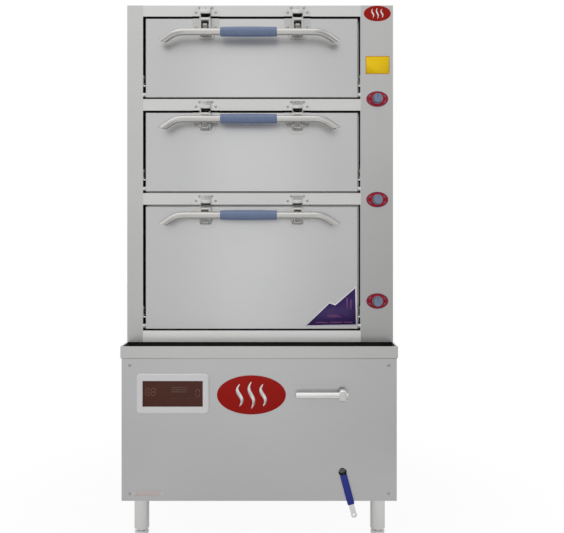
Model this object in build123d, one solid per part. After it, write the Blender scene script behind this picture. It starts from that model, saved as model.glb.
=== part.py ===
"""Three-door steam cabinet on an induction-heated base, in millimetres.

Front is -Y, +Z is up, and the origin is on the floor under the centre of the whole outline. The base holds
the boiler tank and its induction unit. The cabinet stands on the base's tray, set back behind a gutter, and
has three bottom-hinged doors. Each door carries two latches, turned together by one long handle bar. Steam
rises through the right-hand column, where each chamber has its own valve and knob.
"""

from build123d import *
from math import acos, atan2, cos, hypot, radians, sin
import os

# ---- driving dimensions -------------------------------------------------------------------------------
WIDTH = 950.0  # over the base's rim
DEPTH = 900.0  # over the base's rim
HEIGHT = 1860.0  # with the feet screwed 10 mm out
SETBACK = 110.0  # from the rim's front to the cabinet's front
REACH = 46.0  # how far the lever's hub stands out before the rim, and the pipe stubs behind it
SHEET = 1.5  # casing sheet

# ---- base ---------------------------------------------------------------------------------------------
BASE_BOTTOM = 133.0
RIM_TOP = 662.0
RIM_WIDTH = 6.0  # the rim's folded edge
TRAY_DEPTH = 28.0  # from the rim's top down to the tray's floor
APRON_HEIGHT = 40.0
APRON_THICK = 4.0
TRAY_FLOOR = RIM_TOP - TRAY_DEPTH
TRAY_UNDER = TRAY_FLOOR - SHEET
RIM_X = WIDTH / 2
RIM_Y = DEPTH / 2
PANEL_X = RIM_X - APRON_THICK  # outer face of the base's side panels
PANEL_Y = RIM_Y - APRON_THICK  # outer face of its front and back panels
FRAME_ANGLE = 30.0  # leg of the frame's steel angle
FRAME_THICK = 3.0
MID_RAIL_Z = (395.0, 425.0)

LEG_X = 412.0
LEG_Y = 388.0
LEG_RADIUS = 25.4
LEG_WALL = 1.5
LEG_BOTTOM = 22.0
LEG_PLUG = 12.0  # threaded plug in the tube's end
FOOT_STEM_RADIUS = 8.0
FOOT_STEM_TOP = 82.0
FOOT_PAD_HEIGHT = 14.0
FOOT_PAD_ACROSS = 42.0  # across the flats
RUNNING = 0.06  # radial clearance of a shaft in its bore

# ---- cabinet ------------------------------------------------------------------------------------------
CAB_X = RIM_X - 2.0
CAB_FRONT = -RIM_Y + SETBACK
CAB_BACK = PANEL_Y
CASING_FRONT = CAB_FRONT + 2.5  # where the side, top and back sheets begin
RAIL_FRONT = CAB_FRONT + 1.0  # the rails stand 1 mm behind the stile
TOP_RAIL = 39.0
RAIL = 41.0
DOOR_HEIGHTS = (280.0, 280.0, 434.0)  # upper, middle, lower
GAP_ABOVE = 8.0
GAP_BELOW = 6.0
GAP_SIDE = 10.0
DOOR_X = -30.0  # middle of the doors, left of the cabinet's own middle
DOOR_WIDTH = 754.0
DOOR_THICK = 42.0
OPENING_HALF = DOOR_WIDTH / 2 + GAP_SIDE
SLEEVE_BACK = CAB_FRONT + 50.0  # the jambs end here, on the chamber's flange
PLINTH_BACK = 30.0  # the plinth stands this far behind the front

MOUTH_SIDE = 35.0  # from the jamb in to the chamber's mouth
MOUTH_BELOW = 40.0
MOUTH_ABOVE = 30.0
CHAMBER_BACK = 380.0
LEDGE_WIDTH = 14.0
SHELF_HEIGHTS = ((45.0,), (45.0,), (60.0, 215.0))  # above the chamber's floor, for each chamber
SHELF_SLOTS = 14
GASKET_WIDTH = 12.0
GASKET_THICK = 7.5

HINGE_IN = 10.0  # the hinge axis lies this far behind the door's face and above its bottom edge
PIN_RADIUS = 5.0
STAY_TAIL = 33.0
STAY_ANGLE = -10.0
DOOR_OPEN = 90.0

# ---- latches and handles ------------------------------------------------------------------------------
LATCH_SPACING = 326.0
PLATE_THICK = 2.0
KEEPER_RADIUS = 48.0
KEEPER_HEIGHT = 37.0
BASE_PLATE_HEIGHT = 76.0
CHEEK_GAP = 27.0
CHEEK_THICK = 6.0
CHEEK_DEPTH = 32.0  # out from the base plate
PIVOT_DROP = 50.0  # lever's pivot below the door's top edge
PIVOT_OUT = 18.0  # and out from the door's face
PIVOT_RADIUS = 4.0
ROLLER_AT = (22.0, -9.0)  # the roller between the cheeks, out from the door's face and from the door's top edge
ROLLER_RADIUS = 8.5
HOOD_HALF = 18.0  # half the width inside the keeper's hood
HUB_RADIUS = 12.5
CAM_REACH = 24.0  # from the pivot to the middle of the lever's cam nose
BAR_DROP = 31.0
BAR_OUT = 65.0
BAR_RADIUS = 12.5
BAR_WALL = 1.5
BAR_X = -36.0  # middle of the bar, a little left of the doors' own middle
BAR_STRAIGHT = 227.0  # half of the straight run
BAR_BEND_RADIUS = 90.0
BAR_BEND = 35.0  # degrees
BAR_TAIL = 29.0  # straight end after the bend
BAR_CUT = 15.0  # degrees off level at which the tails are cut
RELEASE = 38.0  # degrees the bar turns down to free the door
HANDLE_REST = (RELEASE, 0.0, 0.0)  # the upper bar hangs released, the others are up
GRIP_X = -38.0
GRIP_LENGTH = 197.0
GRIP_RADIUS = 18.0
GRIP_END_RADIUS = 16.8

# ---- controls, pipes and what the base holds ----------------------------------------------------------
KNOB_X = 417.0
KNOB_HEIGHTS = (1527.0, 1169.0, 808.0)
KNOB_RADIUS = 19.0
KNOB_LENGTH = 28.0
STEM_RADIUS = 4.0
DIAL_SIZE = (78.0, 55.0)
RISER_X = 452.0
PIPE_Y = -250.0
RISER_RADIUS = 13.5
BRANCH_RADIUS = 10.7

DISPLAY_AT = (-295.0, 501.0)
BEZEL_SIZE = (246.0, 137.0)
WINDOW_SIZE = (206.0, 88.0)
BEZEL_PROUD = 9.0
GEAR_AT = (284.0, 501.0)
GEAR_TUBE_RADIUS = 11.6
GEAR_TUBE_LENGTH = 150.0
GEAR_SHAFT_RADIUS = 8.0
DRAIN_AT = (285.4, 232.0)
DRAIN_Y = -366.0
DRAIN_TILT = 15.0  # the lever stands this far off upright
DRAIN_PIPE_RADIUS = 21.2
DRAIN_BORE = 17.0
DRAIN_LEVER = 149.0
DRAIN_HOLE = 14.2  # the lever is cranked in through this hole in the panel
DRAIN_RECESS = 15.0  # its tab on the valve's stem lies this far behind the panel's face
DRAIN_END = 118.0

TANK_X = (-330.0, 330.0)
TANK_Y = (-270.0, 330.0)
TANK_BOTTOM = 452.0
COIL_RADIUS = 200.0
INVERTER_X = (-440.0, -150.0)
INVERTER_Y = (-100.0, 330.0)
INVERTER_Z = (150.0, 380.0)
FAN_AT = (-295.0, 262.0)
FAN_RADIUS = 70.0
EXHAUST_AT = (DOOR_X, 1770.0)
EXHAUST_RADIUS = 30.0
EXHAUST_BORE = 28.5
EXHAUST_FLANGE = 38.0
DUCT_HALF = 45.0
VENT_RADIUS = 20.0
VENT_DROP = 40.0  # below the chamber's ceiling
INLET_AT = (300.0, 560.0)
INLET_RADIUS = 10.48  # a half-inch pipe thread
GLAND_AT = (-380.0, 200.0)


# ---- helpers ------------------------------------------------------------------------------------------
def block(x, y, z):
    """A box given by its limits along each axis."""
    middle = [(a + b) / 2 for a, b in (x, y, z)]
    return Pos(*middle) * Box(x[1] - x[0], y[1] - y[0], z[1] - z[0])


def rod_x(span, y, z, radius):
    """A round bar along X."""
    return Pos(sum(span) / 2, y, z) * Rot(0, 90, 0) * Cylinder(radius, span[1] - span[0])


def rod_y(x, span, z, radius):
    """A round bar along Y."""
    return Pos(x, sum(span) / 2, z) * Rot(90, 0, 0) * Cylinder(radius, span[1] - span[0])


def rod_z(x, y, span, radius):
    """A round bar along Z."""
    return Pos(x, y, sum(span) / 2) * Cylinder(radius, span[1] - span[0])


def facing(sketch, y, thick):
    """Raises a sketch drawn in X and Z from the plane at y towards the front."""
    return extrude(Plane(origin=(0, y, 0), x_dir=(1, 0, 0), z_dir=(0, -1, 0)) * sketch, thick)


def sideways(sketch, x):
    """Raises a sketch drawn in Y and Z between two places along X."""
    return extrude(Plane(origin=(x[0], 0, 0), x_dir=(0, 1, 0), z_dir=(1, 0, 0)) * sketch, x[1] - x[0])


def link(start, end, start_radius, end_radius):
    """The outline of two discs and the belt round them, drawn in one plane."""
    along = atan2(end[1] - start[1], end[0] - start[0])
    lean = acos((start_radius - end_radius) / hypot(end[0] - start[0], end[1] - start[1]))
    corners = [(x + r * cos(turn), y + r * sin(turn))
               for (x, y), r, turn in ((start, start_radius, along - lean), (end, end_radius, along - lean),
                                       (end, end_radius, along + lean), (start, start_radius, along + lean))]
    belt = make_face(Polyline(*corners, close=True))
    return belt + Pos(*start) * Circle(start_radius) + Pos(*end) * Circle(end_radius)


def join(pieces):
    """Fuses a list of solids into one."""
    first, *rest = pieces
    return first.fuse(*rest).clean() if rest else first


def grown(limits, by):
    """Limits moved outwards by the same amount at both ends."""
    return limits[0] - by, limits[1] + by


def frame_openings():
    """Lower and upper limit of each door opening, from the top one down."""
    top = HEIGHT - TOP_RAIL
    limits = []
    for height in DOOR_HEIGHTS:
        bottom = top - GAP_ABOVE - height - GAP_BELOW
        limits.append((bottom, top))
        top = bottom - RAIL
    return limits


OPENINGS = frame_openings()
OPENING_X = (DOOR_X - OPENING_HALF, DOOR_X + OPENING_HALF)
DOOR_EDGES = (DOOR_X - DOOR_WIDTH / 2, DOOR_X + DOOR_WIDTH / 2)
DOOR_LIMITS = [(low + GAP_BELOW, high - GAP_ABOVE) for low, high in OPENINGS]
MOUTH_X = grown(OPENING_X, -MOUTH_SIDE)
MOUTHS = [(low + MOUTH_BELOW, high - MOUTH_ABOVE) for low, high in OPENINGS]
HINGE_Y = CAB_FRONT + HINGE_IN
LATCH_X = (DOOR_X - LATCH_SPACING / 2, DOOR_X + LATCH_SPACING / 2)
COLUMN_X = (OPENING_X[1] + SHEET, CAB_X)


# ---- base pieces --------------------------------------------------------------------------------------
def base_frame():
    """A welded cage of steel angle, with a rail half way up each side for the coil's bearers."""
    x, y, z = PANEL_X - SHEET, PANEL_Y - SHEET, (BASE_BOTTOM + SHEET, TRAY_UNDER)
    inner_x, inner_y = x - FRAME_THICK, y - FRAME_THICK
    cage = block((-x, x), (-y, y), z) - block((-inner_x, inner_x), (-inner_y, inner_y), grown(z, -FRAME_THICK))
    window_x, window_y = x - FRAME_ANGLE, y - FRAME_ANGLE
    window_z = grown(z, -FRAME_ANGLE)
    cage -= block((-window_x, window_x), (-window_y, window_y), grown(z, 1))
    cage -= block((-window_x, window_x), (-y - 1, y + 1), window_z)
    for limits in ((window_z[0], MID_RAIL_Z[0]), (MID_RAIL_Z[1], window_z[1])):
        cage -= block((-x - 1, x + 1), (-window_y, window_y), limits)
    return cage - rod_z(RISER_X, PIPE_Y, (window_z[1], TRAY_UNDER + 1), RISER_RADIUS + 2)


def base_side_panels():
    """Two plain sheets."""
    z = (BASE_BOTTOM, TRAY_UNDER)
    y = (-PANEL_Y + SHEET, PANEL_Y - SHEET)
    return [block((s * PANEL_X - SHEET * (s > 0), s * PANEL_X + SHEET * (s < 0)), y, z) for s in (-1, 1)]


def base_front_panel():
    """The front sheet, with cut-outs for the display, the power lever's nose and the drain lever."""
    panel = block((-PANEL_X, PANEL_X), (-PANEL_Y, -PANEL_Y + SHEET), (BASE_BOTTOM, TRAY_UNDER))
    cut = (-PANEL_Y - 1, -PANEL_Y + SHEET + 1)
    width, height = WINDOW_SIZE
    x, z = DISPLAY_AT
    panel -= block((x - width / 2 - 4, x + width / 2 + 4), cut, (z - height / 2 - 4, z + height / 2 + 4))
    panel -= rod_y(GEAR_AT[0], cut, GEAR_AT[1], 14.2)
    panel -= rod_y(DRAIN_AT[0], cut, DRAIN_AT[1], DRAIN_HOLE)
    return panel


LOUVRE_LENGTH = 130.0
LOUVRE_PITCH = 22.0
LOUVRES = 8
LOUVRE_COLUMNS = (FAN_AT[0] + 5, 160.0)


def louvre_hood(x, z):
    """A pressed hood, closed above and open below, over one slot."""
    half, drop, out = LOUVRE_LENGTH / 2, 12.0, 7.0
    outline = Polyline((PANEL_Y, z + drop), (PANEL_Y + out, z), (PANEL_Y + out, z - 1.5),
                       (PANEL_Y + out - 1.5, z - 1.5), (PANEL_Y, z + drop - 3), close=True)
    return sideways(make_face(outline), (x - half, x + half))


def base_back_panel():
    """The back sheet, with two columns of louvres and holes for the water inlet and the cable gland."""
    y = (PANEL_Y - SHEET, PANEL_Y)
    panel = block((-PANEL_X, PANEL_X), y, (BASE_BOTTOM, TRAY_UNDER))
    places = [(x, 190.0 + LOUVRE_PITCH * n) for x in LOUVRE_COLUMNS for n in range(LOUVRES)]
    panel = join([panel] + [louvre_hood(x, z) for x, z in places])
    for x, z in places:
        panel -= block((x - LOUVRE_LENGTH / 2 + 1, x + LOUVRE_LENGTH / 2 - 1), grown(y, 1), (z, z + 7))
    panel -= rod_y(INLET_AT[0], grown(y, 1), INLET_AT[1], INLET_RADIUS + 0.5)
    panel -= rod_y(GLAND_AT[0], grown(y, 1), GLAND_AT[1], 16.5)
    return panel


def base_bottom_plate():
    """The floor of the base, with a hole for the drain's tail."""
    x, y = PANEL_X - SHEET, PANEL_Y - SHEET
    plate = block((-x, x), (-y, y), (BASE_BOTTOM, BASE_BOTTOM + SHEET))
    return plate - rod_z(DRAIN_AT[0], DRAIN_Y, (BASE_BOTTOM - 1, BASE_BOTTOM + 3), DRAIN_PIPE_RADIUS + 4)


def deck_tray():
    """The tray under the cabinet: a floor, an apron round it, and a raised rim round the front gutter."""
    outer = (-RIM_X, RIM_X)
    floor = block(outer, (-RIM_Y, RIM_Y), (TRAY_UNDER, TRAY_FLOOR))
    apron = block(outer, (-RIM_Y, RIM_Y), (RIM_TOP - APRON_HEIGHT, TRAY_UNDER))
    apron -= block((-PANEL_X, PANEL_X), (-PANEL_Y, PANEL_Y), (RIM_TOP - APRON_HEIGHT - 1, TRAY_UNDER))
    rim = block(outer, (-RIM_Y, CAB_FRONT), (TRAY_UNDER, RIM_TOP))
    rim -= block(grown(outer, -RIM_WIDTH), (-RIM_Y + RIM_WIDTH, CAB_FRONT), (TRAY_FLOOR, RIM_TOP + 1))
    tray = join([floor, apron, rim])
    front_corners = tray.edges().filter_by(Axis.Z).filter_by(
        lambda e: abs(e.center().Y + RIM_Y) < 0.1 and abs(abs(e.center().X) - RIM_X) < 0.1)
    tray = fillet(front_corners, 3.5)
    tray -= rod_z(RISER_X, PIPE_Y, (TRAY_UNDER - 1, TRAY_FLOOR + 1), RISER_RADIUS + 2)
    return tray


def leg(x, y):
    """One tube leg with its welded top ring and the threaded plug that the foot screws into."""
    tube = rod_z(x, y, (LEG_BOTTOM, BASE_BOTTOM), LEG_RADIUS) + rod_z(x, y, (BASE_BOTTOM - 3, BASE_BOTTOM), 31)
    tube -= rod_z(x, y, (LEG_BOTTOM + LEG_PLUG, BASE_BOTTOM + 1), LEG_RADIUS - LEG_WALL)
    return tube - rod_z(x, y, (LEG_BOTTOM - 1, LEG_BOTTOM + LEG_PLUG + 1), FOOT_STEM_RADIUS + RUNNING)


def legs():
    """The four legs."""
    return [leg(sx * LEG_X, sy * LEG_Y) for sy in (-1, 1) for sx in (-1, 1)]


def foot(x, y):
    """One levelling foot: a six-sided pad with a tapered underside, on a threaded stem."""
    across = RegularPolygon(FOOT_PAD_ACROSS / 2, 6, major_radius=False)
    below = RegularPolygon(FOOT_PAD_ACROSS / 2 - 3, 6, major_radius=False)
    pad = extrude(Pos(x, y, 4) * across, FOOT_PAD_HEIGHT - 4)
    taper = loft([Pos(x, y, 0) * below, Pos(x, y, 4) * across])
    return join([pad, taper, rod_z(x, y, (FOOT_PAD_HEIGHT - 1, FOOT_STEM_TOP), FOOT_STEM_RADIUS)])


def water_tank():
    """The boiler: a closed tank welded under the tray, with a boss for the drain and one for the riser."""
    z = (TANK_BOTTOM, TRAY_UNDER)
    tank = block(TANK_X, TANK_Y, z) - block(grown(TANK_X, -2), grown(TANK_Y, -2), (z[0] + 2, z[1] - 2))
    inside = block(grown(TANK_X, -2), grown(TANK_Y, -2), (z[0] + 2, z[1] - 2))
    drain = rod_y(DRAIN_AT[0], (TANK_Y[0] - 12, TANK_Y[0] + 1), TANK_BOTTOM + 30, DRAIN_PIPE_RADIUS + 5)
    tank = join([tank, drain])
    tank -= rod_y(DRAIN_AT[0], (TANK_Y[0] - 13, TANK_Y[0] + 5), TANK_BOTTOM + 30, DRAIN_BORE)
    return tank - inside


BEARER_Z = (400.0, 420.0)


def induction_unit():
    """The coil on its bearers and carrier, the heat blanket over it, and the inverter with its fan housing."""
    x = PANEL_X - SHEET - FRAME_THICK
    bearers = [block((-x, x), (y - 20, y + 20), BEARER_Z) for y in (-150.0, 150.0)]
    carrier = rod_z(0, 0, (BEARER_Z[1], BEARER_Z[1] + 4), COIL_RADIUS + 15)
    coil = rod_z(0, 0, (BEARER_Z[1] + 4, BEARER_Z[1] + 18), COIL_RADIUS)
    coil -= rod_z(0, 0, (BEARER_Z[1] + 3, BEARER_Z[1] + 19), 45)
    blanket = rod_z(0, 0, (BEARER_Z[1] + 18, TANK_BOTTOM), COIL_RADIUS + 5)
    return bearers + [carrier, coil, blanket, inverter()]


def inverter():
    """The power unit's case, standing on the base's floor, with a round fan mouth at the back."""
    fan_x, fan_z = FAN_AT
    case = block(INVERTER_X, INVERTER_Y, INVERTER_Z)
    feet = [block((x - 10, x + 10), (y - 10, y + 10), (BASE_BOTTOM + SHEET, INVERTER_Z[0]))
            for x in grown(INVERTER_X, -20) for y in grown(INVERTER_Y, -20)]
    side, back = FAN_RADIUS + 6, INVERTER_Y[1]
    shroud = block((fan_x - side, fan_x + side), (back, back + 28), (fan_z - side, fan_z + side))
    shroud -= rod_y(fan_x, (back, back + 29), fan_z, FAN_RADIUS)
    axle = rod_y(fan_x, (back - 1, back + 26), fan_z, PIVOT_RADIUS)
    return join([case, shroud, axle] + feet)


def fan_rotor():
    """A seven-bladed fan on the inverter's axle."""
    x, z = FAN_AT
    y = (INVERTER_Y[1] + 4, INVERTER_Y[1] + 24)
    blade = block((20, FAN_RADIUS - 4), (-1, 1), (-13, 13)).rotate(Axis.X, -52)
    blades = [Pos(x, sum(y) / 2, z) * blade.rotate(Axis.Y, 360 / 7 * n) for n in range(7)]
    rotor = join([rod_y(x, y, z, 22)] + blades)
    return rotor - rod_y(x, grown(y, 1), z, PIVOT_RADIUS + RUNNING)


# ---- drain --------------------------------------------------------------------------------------------
DRAIN_ELBOW = 27.0  # half the side of its elbow
VALVE_HALF = 46.0


def drain_pipe():
    """The pipe from the tank's boss forward, through one forged elbow and down into the valve."""
    x, top = DRAIN_AT[0], TANK_BOTTOM + 30
    start, valve_top = TANK_Y[0] - 12, DRAIN_AT[1] + VALVE_HALF
    bend = block(*(grown((at, at), DRAIN_ELBOW) for at in (x, DRAIN_Y, top)))
    pipe = join([
        chamfer(bend.edges(), 6),
        rod_y(x, (DRAIN_Y, start), top, DRAIN_PIPE_RADIUS),
        rod_z(x, DRAIN_Y, (valve_top, top), DRAIN_PIPE_RADIUS)])
    pipe -= rod_y(x, (DRAIN_Y, start + 1), top, DRAIN_BORE)
    return pipe - rod_z(x, DRAIN_Y, (valve_top - 1, top), DRAIN_BORE)


def drain_valve_body():
    """The ball valve's body with its six-sided ends, its neck towards the front panel, and the tail below."""
    x, z = DRAIN_AT
    ends = extrude(Pos(x, DRAIN_Y, z - VALVE_HALF) * RegularPolygon(27, 6, major_radius=False), 2 * VALVE_HALF)
    ends -= block((x - 40, x + 40), (DRAIN_Y - 40, DRAIN_Y + 40), (z - 26, z + 26))
    bulge = rod_z(x, DRAIN_Y, (z - 26, z + 26), 31)
    neck = rod_y(x, (-PANEL_Y + DRAIN_RECESS + 2, DRAIN_Y), z, 11)
    tail = rod_z(x, DRAIN_Y, (DRAIN_END, z - VALVE_HALF), DRAIN_PIPE_RADIUS)
    body = join([ends, bulge, neck, tail])
    body -= rod_z(x, DRAIN_Y, (DRAIN_END - 1, z - 26), DRAIN_BORE)
    body -= rod_z(x, DRAIN_Y, (z + 26, z + VALVE_HALF + 1), DRAIN_BORE)
    return body - rod_y(x, (-PANEL_Y, DRAIN_Y - 20), z, 6 + RUNNING)


def drain_lever():
    """The steel lever, a little off upright: a tab on the stem, a crank out through the hole, and the strap."""
    x, z = DRAIN_AT
    strap_y, tab_y = -PANEL_Y - 3.5, -PANEL_Y + DRAIN_RECESS
    outline = Pos(0, -9 - (DRAIN_LEVER - 19) / 2) * Rectangle(12, DRAIN_LEVER - 19)
    outline += Pos(0, -16 - (DRAIN_LEVER - 25) / 2) * Rectangle(19, DRAIN_LEVER - 25)
    outline += Pos(0, -DRAIN_LEVER) * Circle(10.5)
    outline -= Pos(0, -DRAIN_LEVER) * Circle(4)
    strap = facing(Pos(x, z) * outline, strap_y, 3)
    crank = block((x - 6, x + 6), (strap_y - 3, tab_y), (z - 12, z - 9))
    tab = facing(Pos(x, z) * (Rectangle(12, 24) + Circle(9.5)), tab_y, 3)
    stem = rod_y(x, (tab_y - 8, DRAIN_Y - 22), z, 6)
    nut = facing(Pos(x, z) * RegularPolygon(8, 6, major_radius=False), tab_y - 3, 5)
    return join([strap, crank, tab, stem, nut]).rotate(drain_axis(), -DRAIN_TILT)


def drain_sleeve():
    """The dipped plastic sleeve on the lever."""
    x, z = DRAIN_AT
    sleeve = facing(Pos(x, z - 61) * RectangleRounded(24, 104, 5), -PANEL_Y - 1, 8)
    slot = facing(Pos(x, z - 61) * Rectangle(19, 108), -PANEL_Y - 3.5, 3)
    notch = block((x - 6.5, x + 6.5), (-PANEL_Y - 4, -PANEL_Y), (z - 12.5, z - 8))
    return (sleeve - slot - notch).rotate(drain_axis(), -DRAIN_TILT)


def drain_axis():
    """The axis of the drain valve's stem."""
    return Axis((DRAIN_AT[0], 0, DRAIN_AT[1]), (0, 1, 0))


# ---- front controls of the base -----------------------------------------------------------------------
def display_bezel():
    """The display's raised frame with chamfered edges, and its housing behind the panel."""
    x, z = DISPLAY_AT
    face = facing(Pos(x, z) * RectangleRounded(*BEZEL_SIZE, 12), -PANEL_Y, BEZEL_PROUD)
    face = chamfer(face.faces().sort_by(Axis.Y)[0].edges(), 3.5)
    width, height = WINDOW_SIZE
    housing = facing(Pos(x, z) * Rectangle(width + 7, height + 7), -PANEL_Y + 34, 34)
    body = join([face, housing])
    return body - facing(Pos(x, z) * Rectangle(width, height), -PANEL_Y + 32, 60)


def display_window():
    """The dark window pane in the bezel."""
    x, z = DISPLAY_AT
    return facing(Pos(x, z) * Rectangle(*WINDOW_SIZE), -PANEL_Y - BEZEL_PROUD + 6, 3)


def gear_switch():
    """The power switch behind the panel, whose threaded nose carries the lever's shaft."""
    x, z = GEAR_AT
    y = (-PANEL_Y + SHEET, -PANEL_Y + 42)
    can = block((x - 32, x + 32), y, (z - 32, z + 32))
    nose = rod_y(x, (-PANEL_Y - 8, y[0]), z, 14)
    return join([can, nose]) - rod_y(x, (-PANEL_Y - 9, y[1] - 10), z, GEAR_SHAFT_RADIUS + RUNNING)


def gear_lever():
    """The power lever: a hub on a shaft, a round handle lying to its left, and a short end cap to its right."""
    x, z = GEAR_AT
    front = -RIM_Y - REACH
    hub = facing(Pos(x, z) * RectangleRounded(24, 38, 9), front + 35, 35)
    hub = chamfer(hub.faces().sort_by(Axis.Y)[0].edges(), 3)
    hub = join([hub, rod_y(x, (front + 30, -PANEL_Y + 28), z, GEAR_SHAFT_RADIUS)])
    left = x - 10 - GEAR_TUBE_LENGTH
    tube = rod_x((left, x - 10), front + 17, z, GEAR_TUBE_RADIUS)
    tube = fillet(tube.faces().sort_by(Axis.X)[0].edges(), 4)
    cap = rod_x((x + 10, x + 18), front + 17, z, 8.5)
    return join([hub, tube, cap])


# ---- rear fittings ------------------------------------------------------------------------------------
def water_inlet():
    """The feed pipe from the back panel to the tank, with a locknut and a pipe thread."""
    x, z = INLET_AT
    end = PANEL_Y + 40
    nut = extrude(Plane(origin=(x, PANEL_Y, z), z_dir=(0, 1, 0)) * RegularPolygon(15, 6, major_radius=False), 8)
    pipe = join([rod_y(x, (TANK_Y[1], end), z, INLET_RADIUS), nut])
    return pipe - rod_y(x, (TANK_Y[1] - 1, end + 1), z, 7)


def cable_gland():
    """The gland for the supply cable."""
    x, z = GLAND_AT
    hexagon = RegularPolygon(22, 6, major_radius=False)
    body = join([
        rod_y(x, (PANEL_Y - 18, PANEL_Y), z, 16),
        extrude(Plane(origin=(x, PANEL_Y, z), z_dir=(0, 1, 0)) * hexagon, 12),
        Pos(x, PANEL_Y + 23, z) * Rot(-90, 0, 0) * Cone(21, 16, 22)])
    return body - rod_y(x, (PANEL_Y - 19, PANEL_Y + 35), z, 12)


# ---- cabinet casing -----------------------------------------------------------------------------------
def casing_sides():
    """The left and right outer sheets."""
    y, z = (CASING_FRONT, CAB_BACK), (TRAY_FLOOR, HEIGHT)
    return [block((-CAB_X, -CAB_X + SHEET), y, z), block((CAB_X - SHEET, CAB_X), y, z)]


def casing_top():
    """The top sheet, with its front edge turned down behind the top rail."""
    x = CAB_X - SHEET
    return block((-x, x), (CASING_FRONT, CAB_BACK - SHEET), (HEIGHT - SHEET, HEIGHT))


def casing_back():
    """The back sheet, with the exhaust's hole."""
    x = CAB_X - SHEET
    sheet = block((-x, x), (CAB_BACK - SHEET, CAB_BACK), (TRAY_FLOOR, HEIGHT))
    return sheet - rod_y(EXHAUST_AT[0], (CAB_BACK - 5, CAB_BACK + 1), EXHAUST_AT[1], EXHAUST_RADIUS + 1)


def front_frame():
    """The folded front: a stile on the left, four rails, a jamb sleeve round each opening, and the plinth."""
    stile = block((-CAB_X, OPENING_X[0]), (CAB_FRONT, CASING_FRONT), (RIM_TOP, HEIGHT))
    rails = block((OPENING_X[0], OPENING_X[1] + SHEET), (RAIL_FRONT, CASING_FRONT), (RIM_TOP, HEIGHT))
    sleeves = [block(grown(OPENING_X, SHEET), (RAIL_FRONT, SLEEVE_BACK), grown(limits, SHEET))
               for limits in OPENINGS]
    x, back = CAB_X - SHEET, CAB_FRONT + PLINTH_BACK
    ledge = block((-x, x), (CASING_FRONT - 1, back), (RIM_TOP, RIM_TOP + SHEET))
    plinth = block((-x, x), (back - SHEET, back), (TRAY_FLOOR, RIM_TOP + SHEET))
    frame = join([stile, rails, ledge, plinth] + sleeves)
    for limits in OPENINGS:
        frame -= block(OPENING_X, (CAB_FRONT - 1, SLEEVE_BACK + 1), limits)
    return frame


def column_cover():
    """The right-hand column's front, with a return along each side and a hole for each valve stem."""
    z = (RIM_TOP + SHEET, HEIGHT - SHEET)
    cover = block(COLUMN_X, (CAB_FRONT, CAB_FRONT + SHEET), (RIM_TOP, HEIGHT))
    for x in (COLUMN_X[0], COLUMN_X[1] - 2 * SHEET):
        cover += block((x, x + SHEET), (CAB_FRONT, CAB_FRONT + 14), z)
    for height in KNOB_HEIGHTS:
        cover -= rod_y(KNOB_X, (CAB_FRONT - 1, CAB_FRONT + 5), height, STEM_RADIUS + 2)
    return cover


def chamber_wall(index, edge, opening, mouth, shelves):
    """A side wall of a chamber, with its flange on the back of the jamb and its ledges for the shelves."""
    inward = 1 if index == 0 else -1
    flange_x = sorted((OPENING_X[index] - SHEET * inward, edge))
    across = sorted((edge - SHEET * inward, edge))
    wall = block(across, (SLEEVE_BACK, CHAMBER_BACK + SHEET), grown(mouth, SHEET))
    wall += block(flange_x, (SLEEVE_BACK, SLEEVE_BACK + SHEET), grown(opening, SHEET))
    for height in shelves:
        z = mouth[0] + height
        wall += block(sorted((edge, edge + LEDGE_WIDTH * inward)), (SLEEVE_BACK + 40, CHAMBER_BACK), (z - 2, z))
    return wall


def chamber_liner(opening, mouth, shelves, steam_z):
    """One chamber's five sheets: floor and ceiling with their flanges, the side walls, and the vented back."""
    left, right = [chamber_wall(n, edge, opening, mouth, shelves) for n, edge in enumerate(MOUTH_X)]
    right -= rod_x((MOUTH_X[1] - 1, MOUTH_X[1] + 5), PIPE_Y, steam_z, BRANCH_RADIUS)
    y, flange_y = (SLEEVE_BACK, CHAMBER_BACK + SHEET), (SLEEVE_BACK, SLEEVE_BACK + SHEET)
    floor = block(MOUTH_X, y, (mouth[0] - SHEET, mouth[0]))
    floor += block(MOUTH_X, flange_y, (opening[0] - SHEET, mouth[0]))
    ceiling = block(MOUTH_X, y, (mouth[1], mouth[1] + SHEET))
    ceiling += block(MOUTH_X, flange_y, (mouth[1], opening[1] + SHEET))
    back = block(MOUTH_X, (CHAMBER_BACK, CHAMBER_BACK + SHEET), mouth) - vent(CHAMBER_BACK, mouth)
    return [left, right, floor, ceiling, back]


def vent(y, mouth):
    """The round way out of a chamber at one of the sheets behind it."""
    return rod_y(DOOR_X, (y - 1, y + 3), mouth[1] - VENT_DROP, VENT_RADIUS)


def chamber_liners():
    """The three chambers, each with its steam inlet in the right wall."""
    chambers = zip(OPENINGS, MOUTHS, SHELF_HEIGHTS, KNOB_HEIGHTS)
    return [sheet for opening, mouth, shelves, knob in chambers
            for sheet in chamber_liner(opening, mouth, shelves, knob + BRANCH_RISE)]


def shelf(z):
    """A slatted steam shelf with its front and back edges turned down, resting on its ledges."""
    x, y = grown(MOUTH_X, -3), (SLEEVE_BACK + 42, CHAMBER_BACK - 4)
    plate = block(x, y, (z, z + 2))
    for edge in ((y[0], y[0] + 2), (y[1] - 2, y[1])):
        plate += block(grown(x, -LEDGE_WIDTH), edge, (z - 14, z))
    pitch = (x[1] - x[0] - 40) / SHELF_SLOTS
    for n in range(SHELF_SLOTS):
        left = x[0] + 20 + pitch * n + pitch / 4
        plate -= block((left, left + pitch / 2), grown(y, -30), (z - 1, z + 3))
    return plate


def steam_shelves():
    """One shelf in each upper chamber and two in the large one."""
    return [shelf(mouth[0] + height) for mouth, heights in zip(MOUTHS, SHELF_HEIGHTS) for height in heights]


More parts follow.
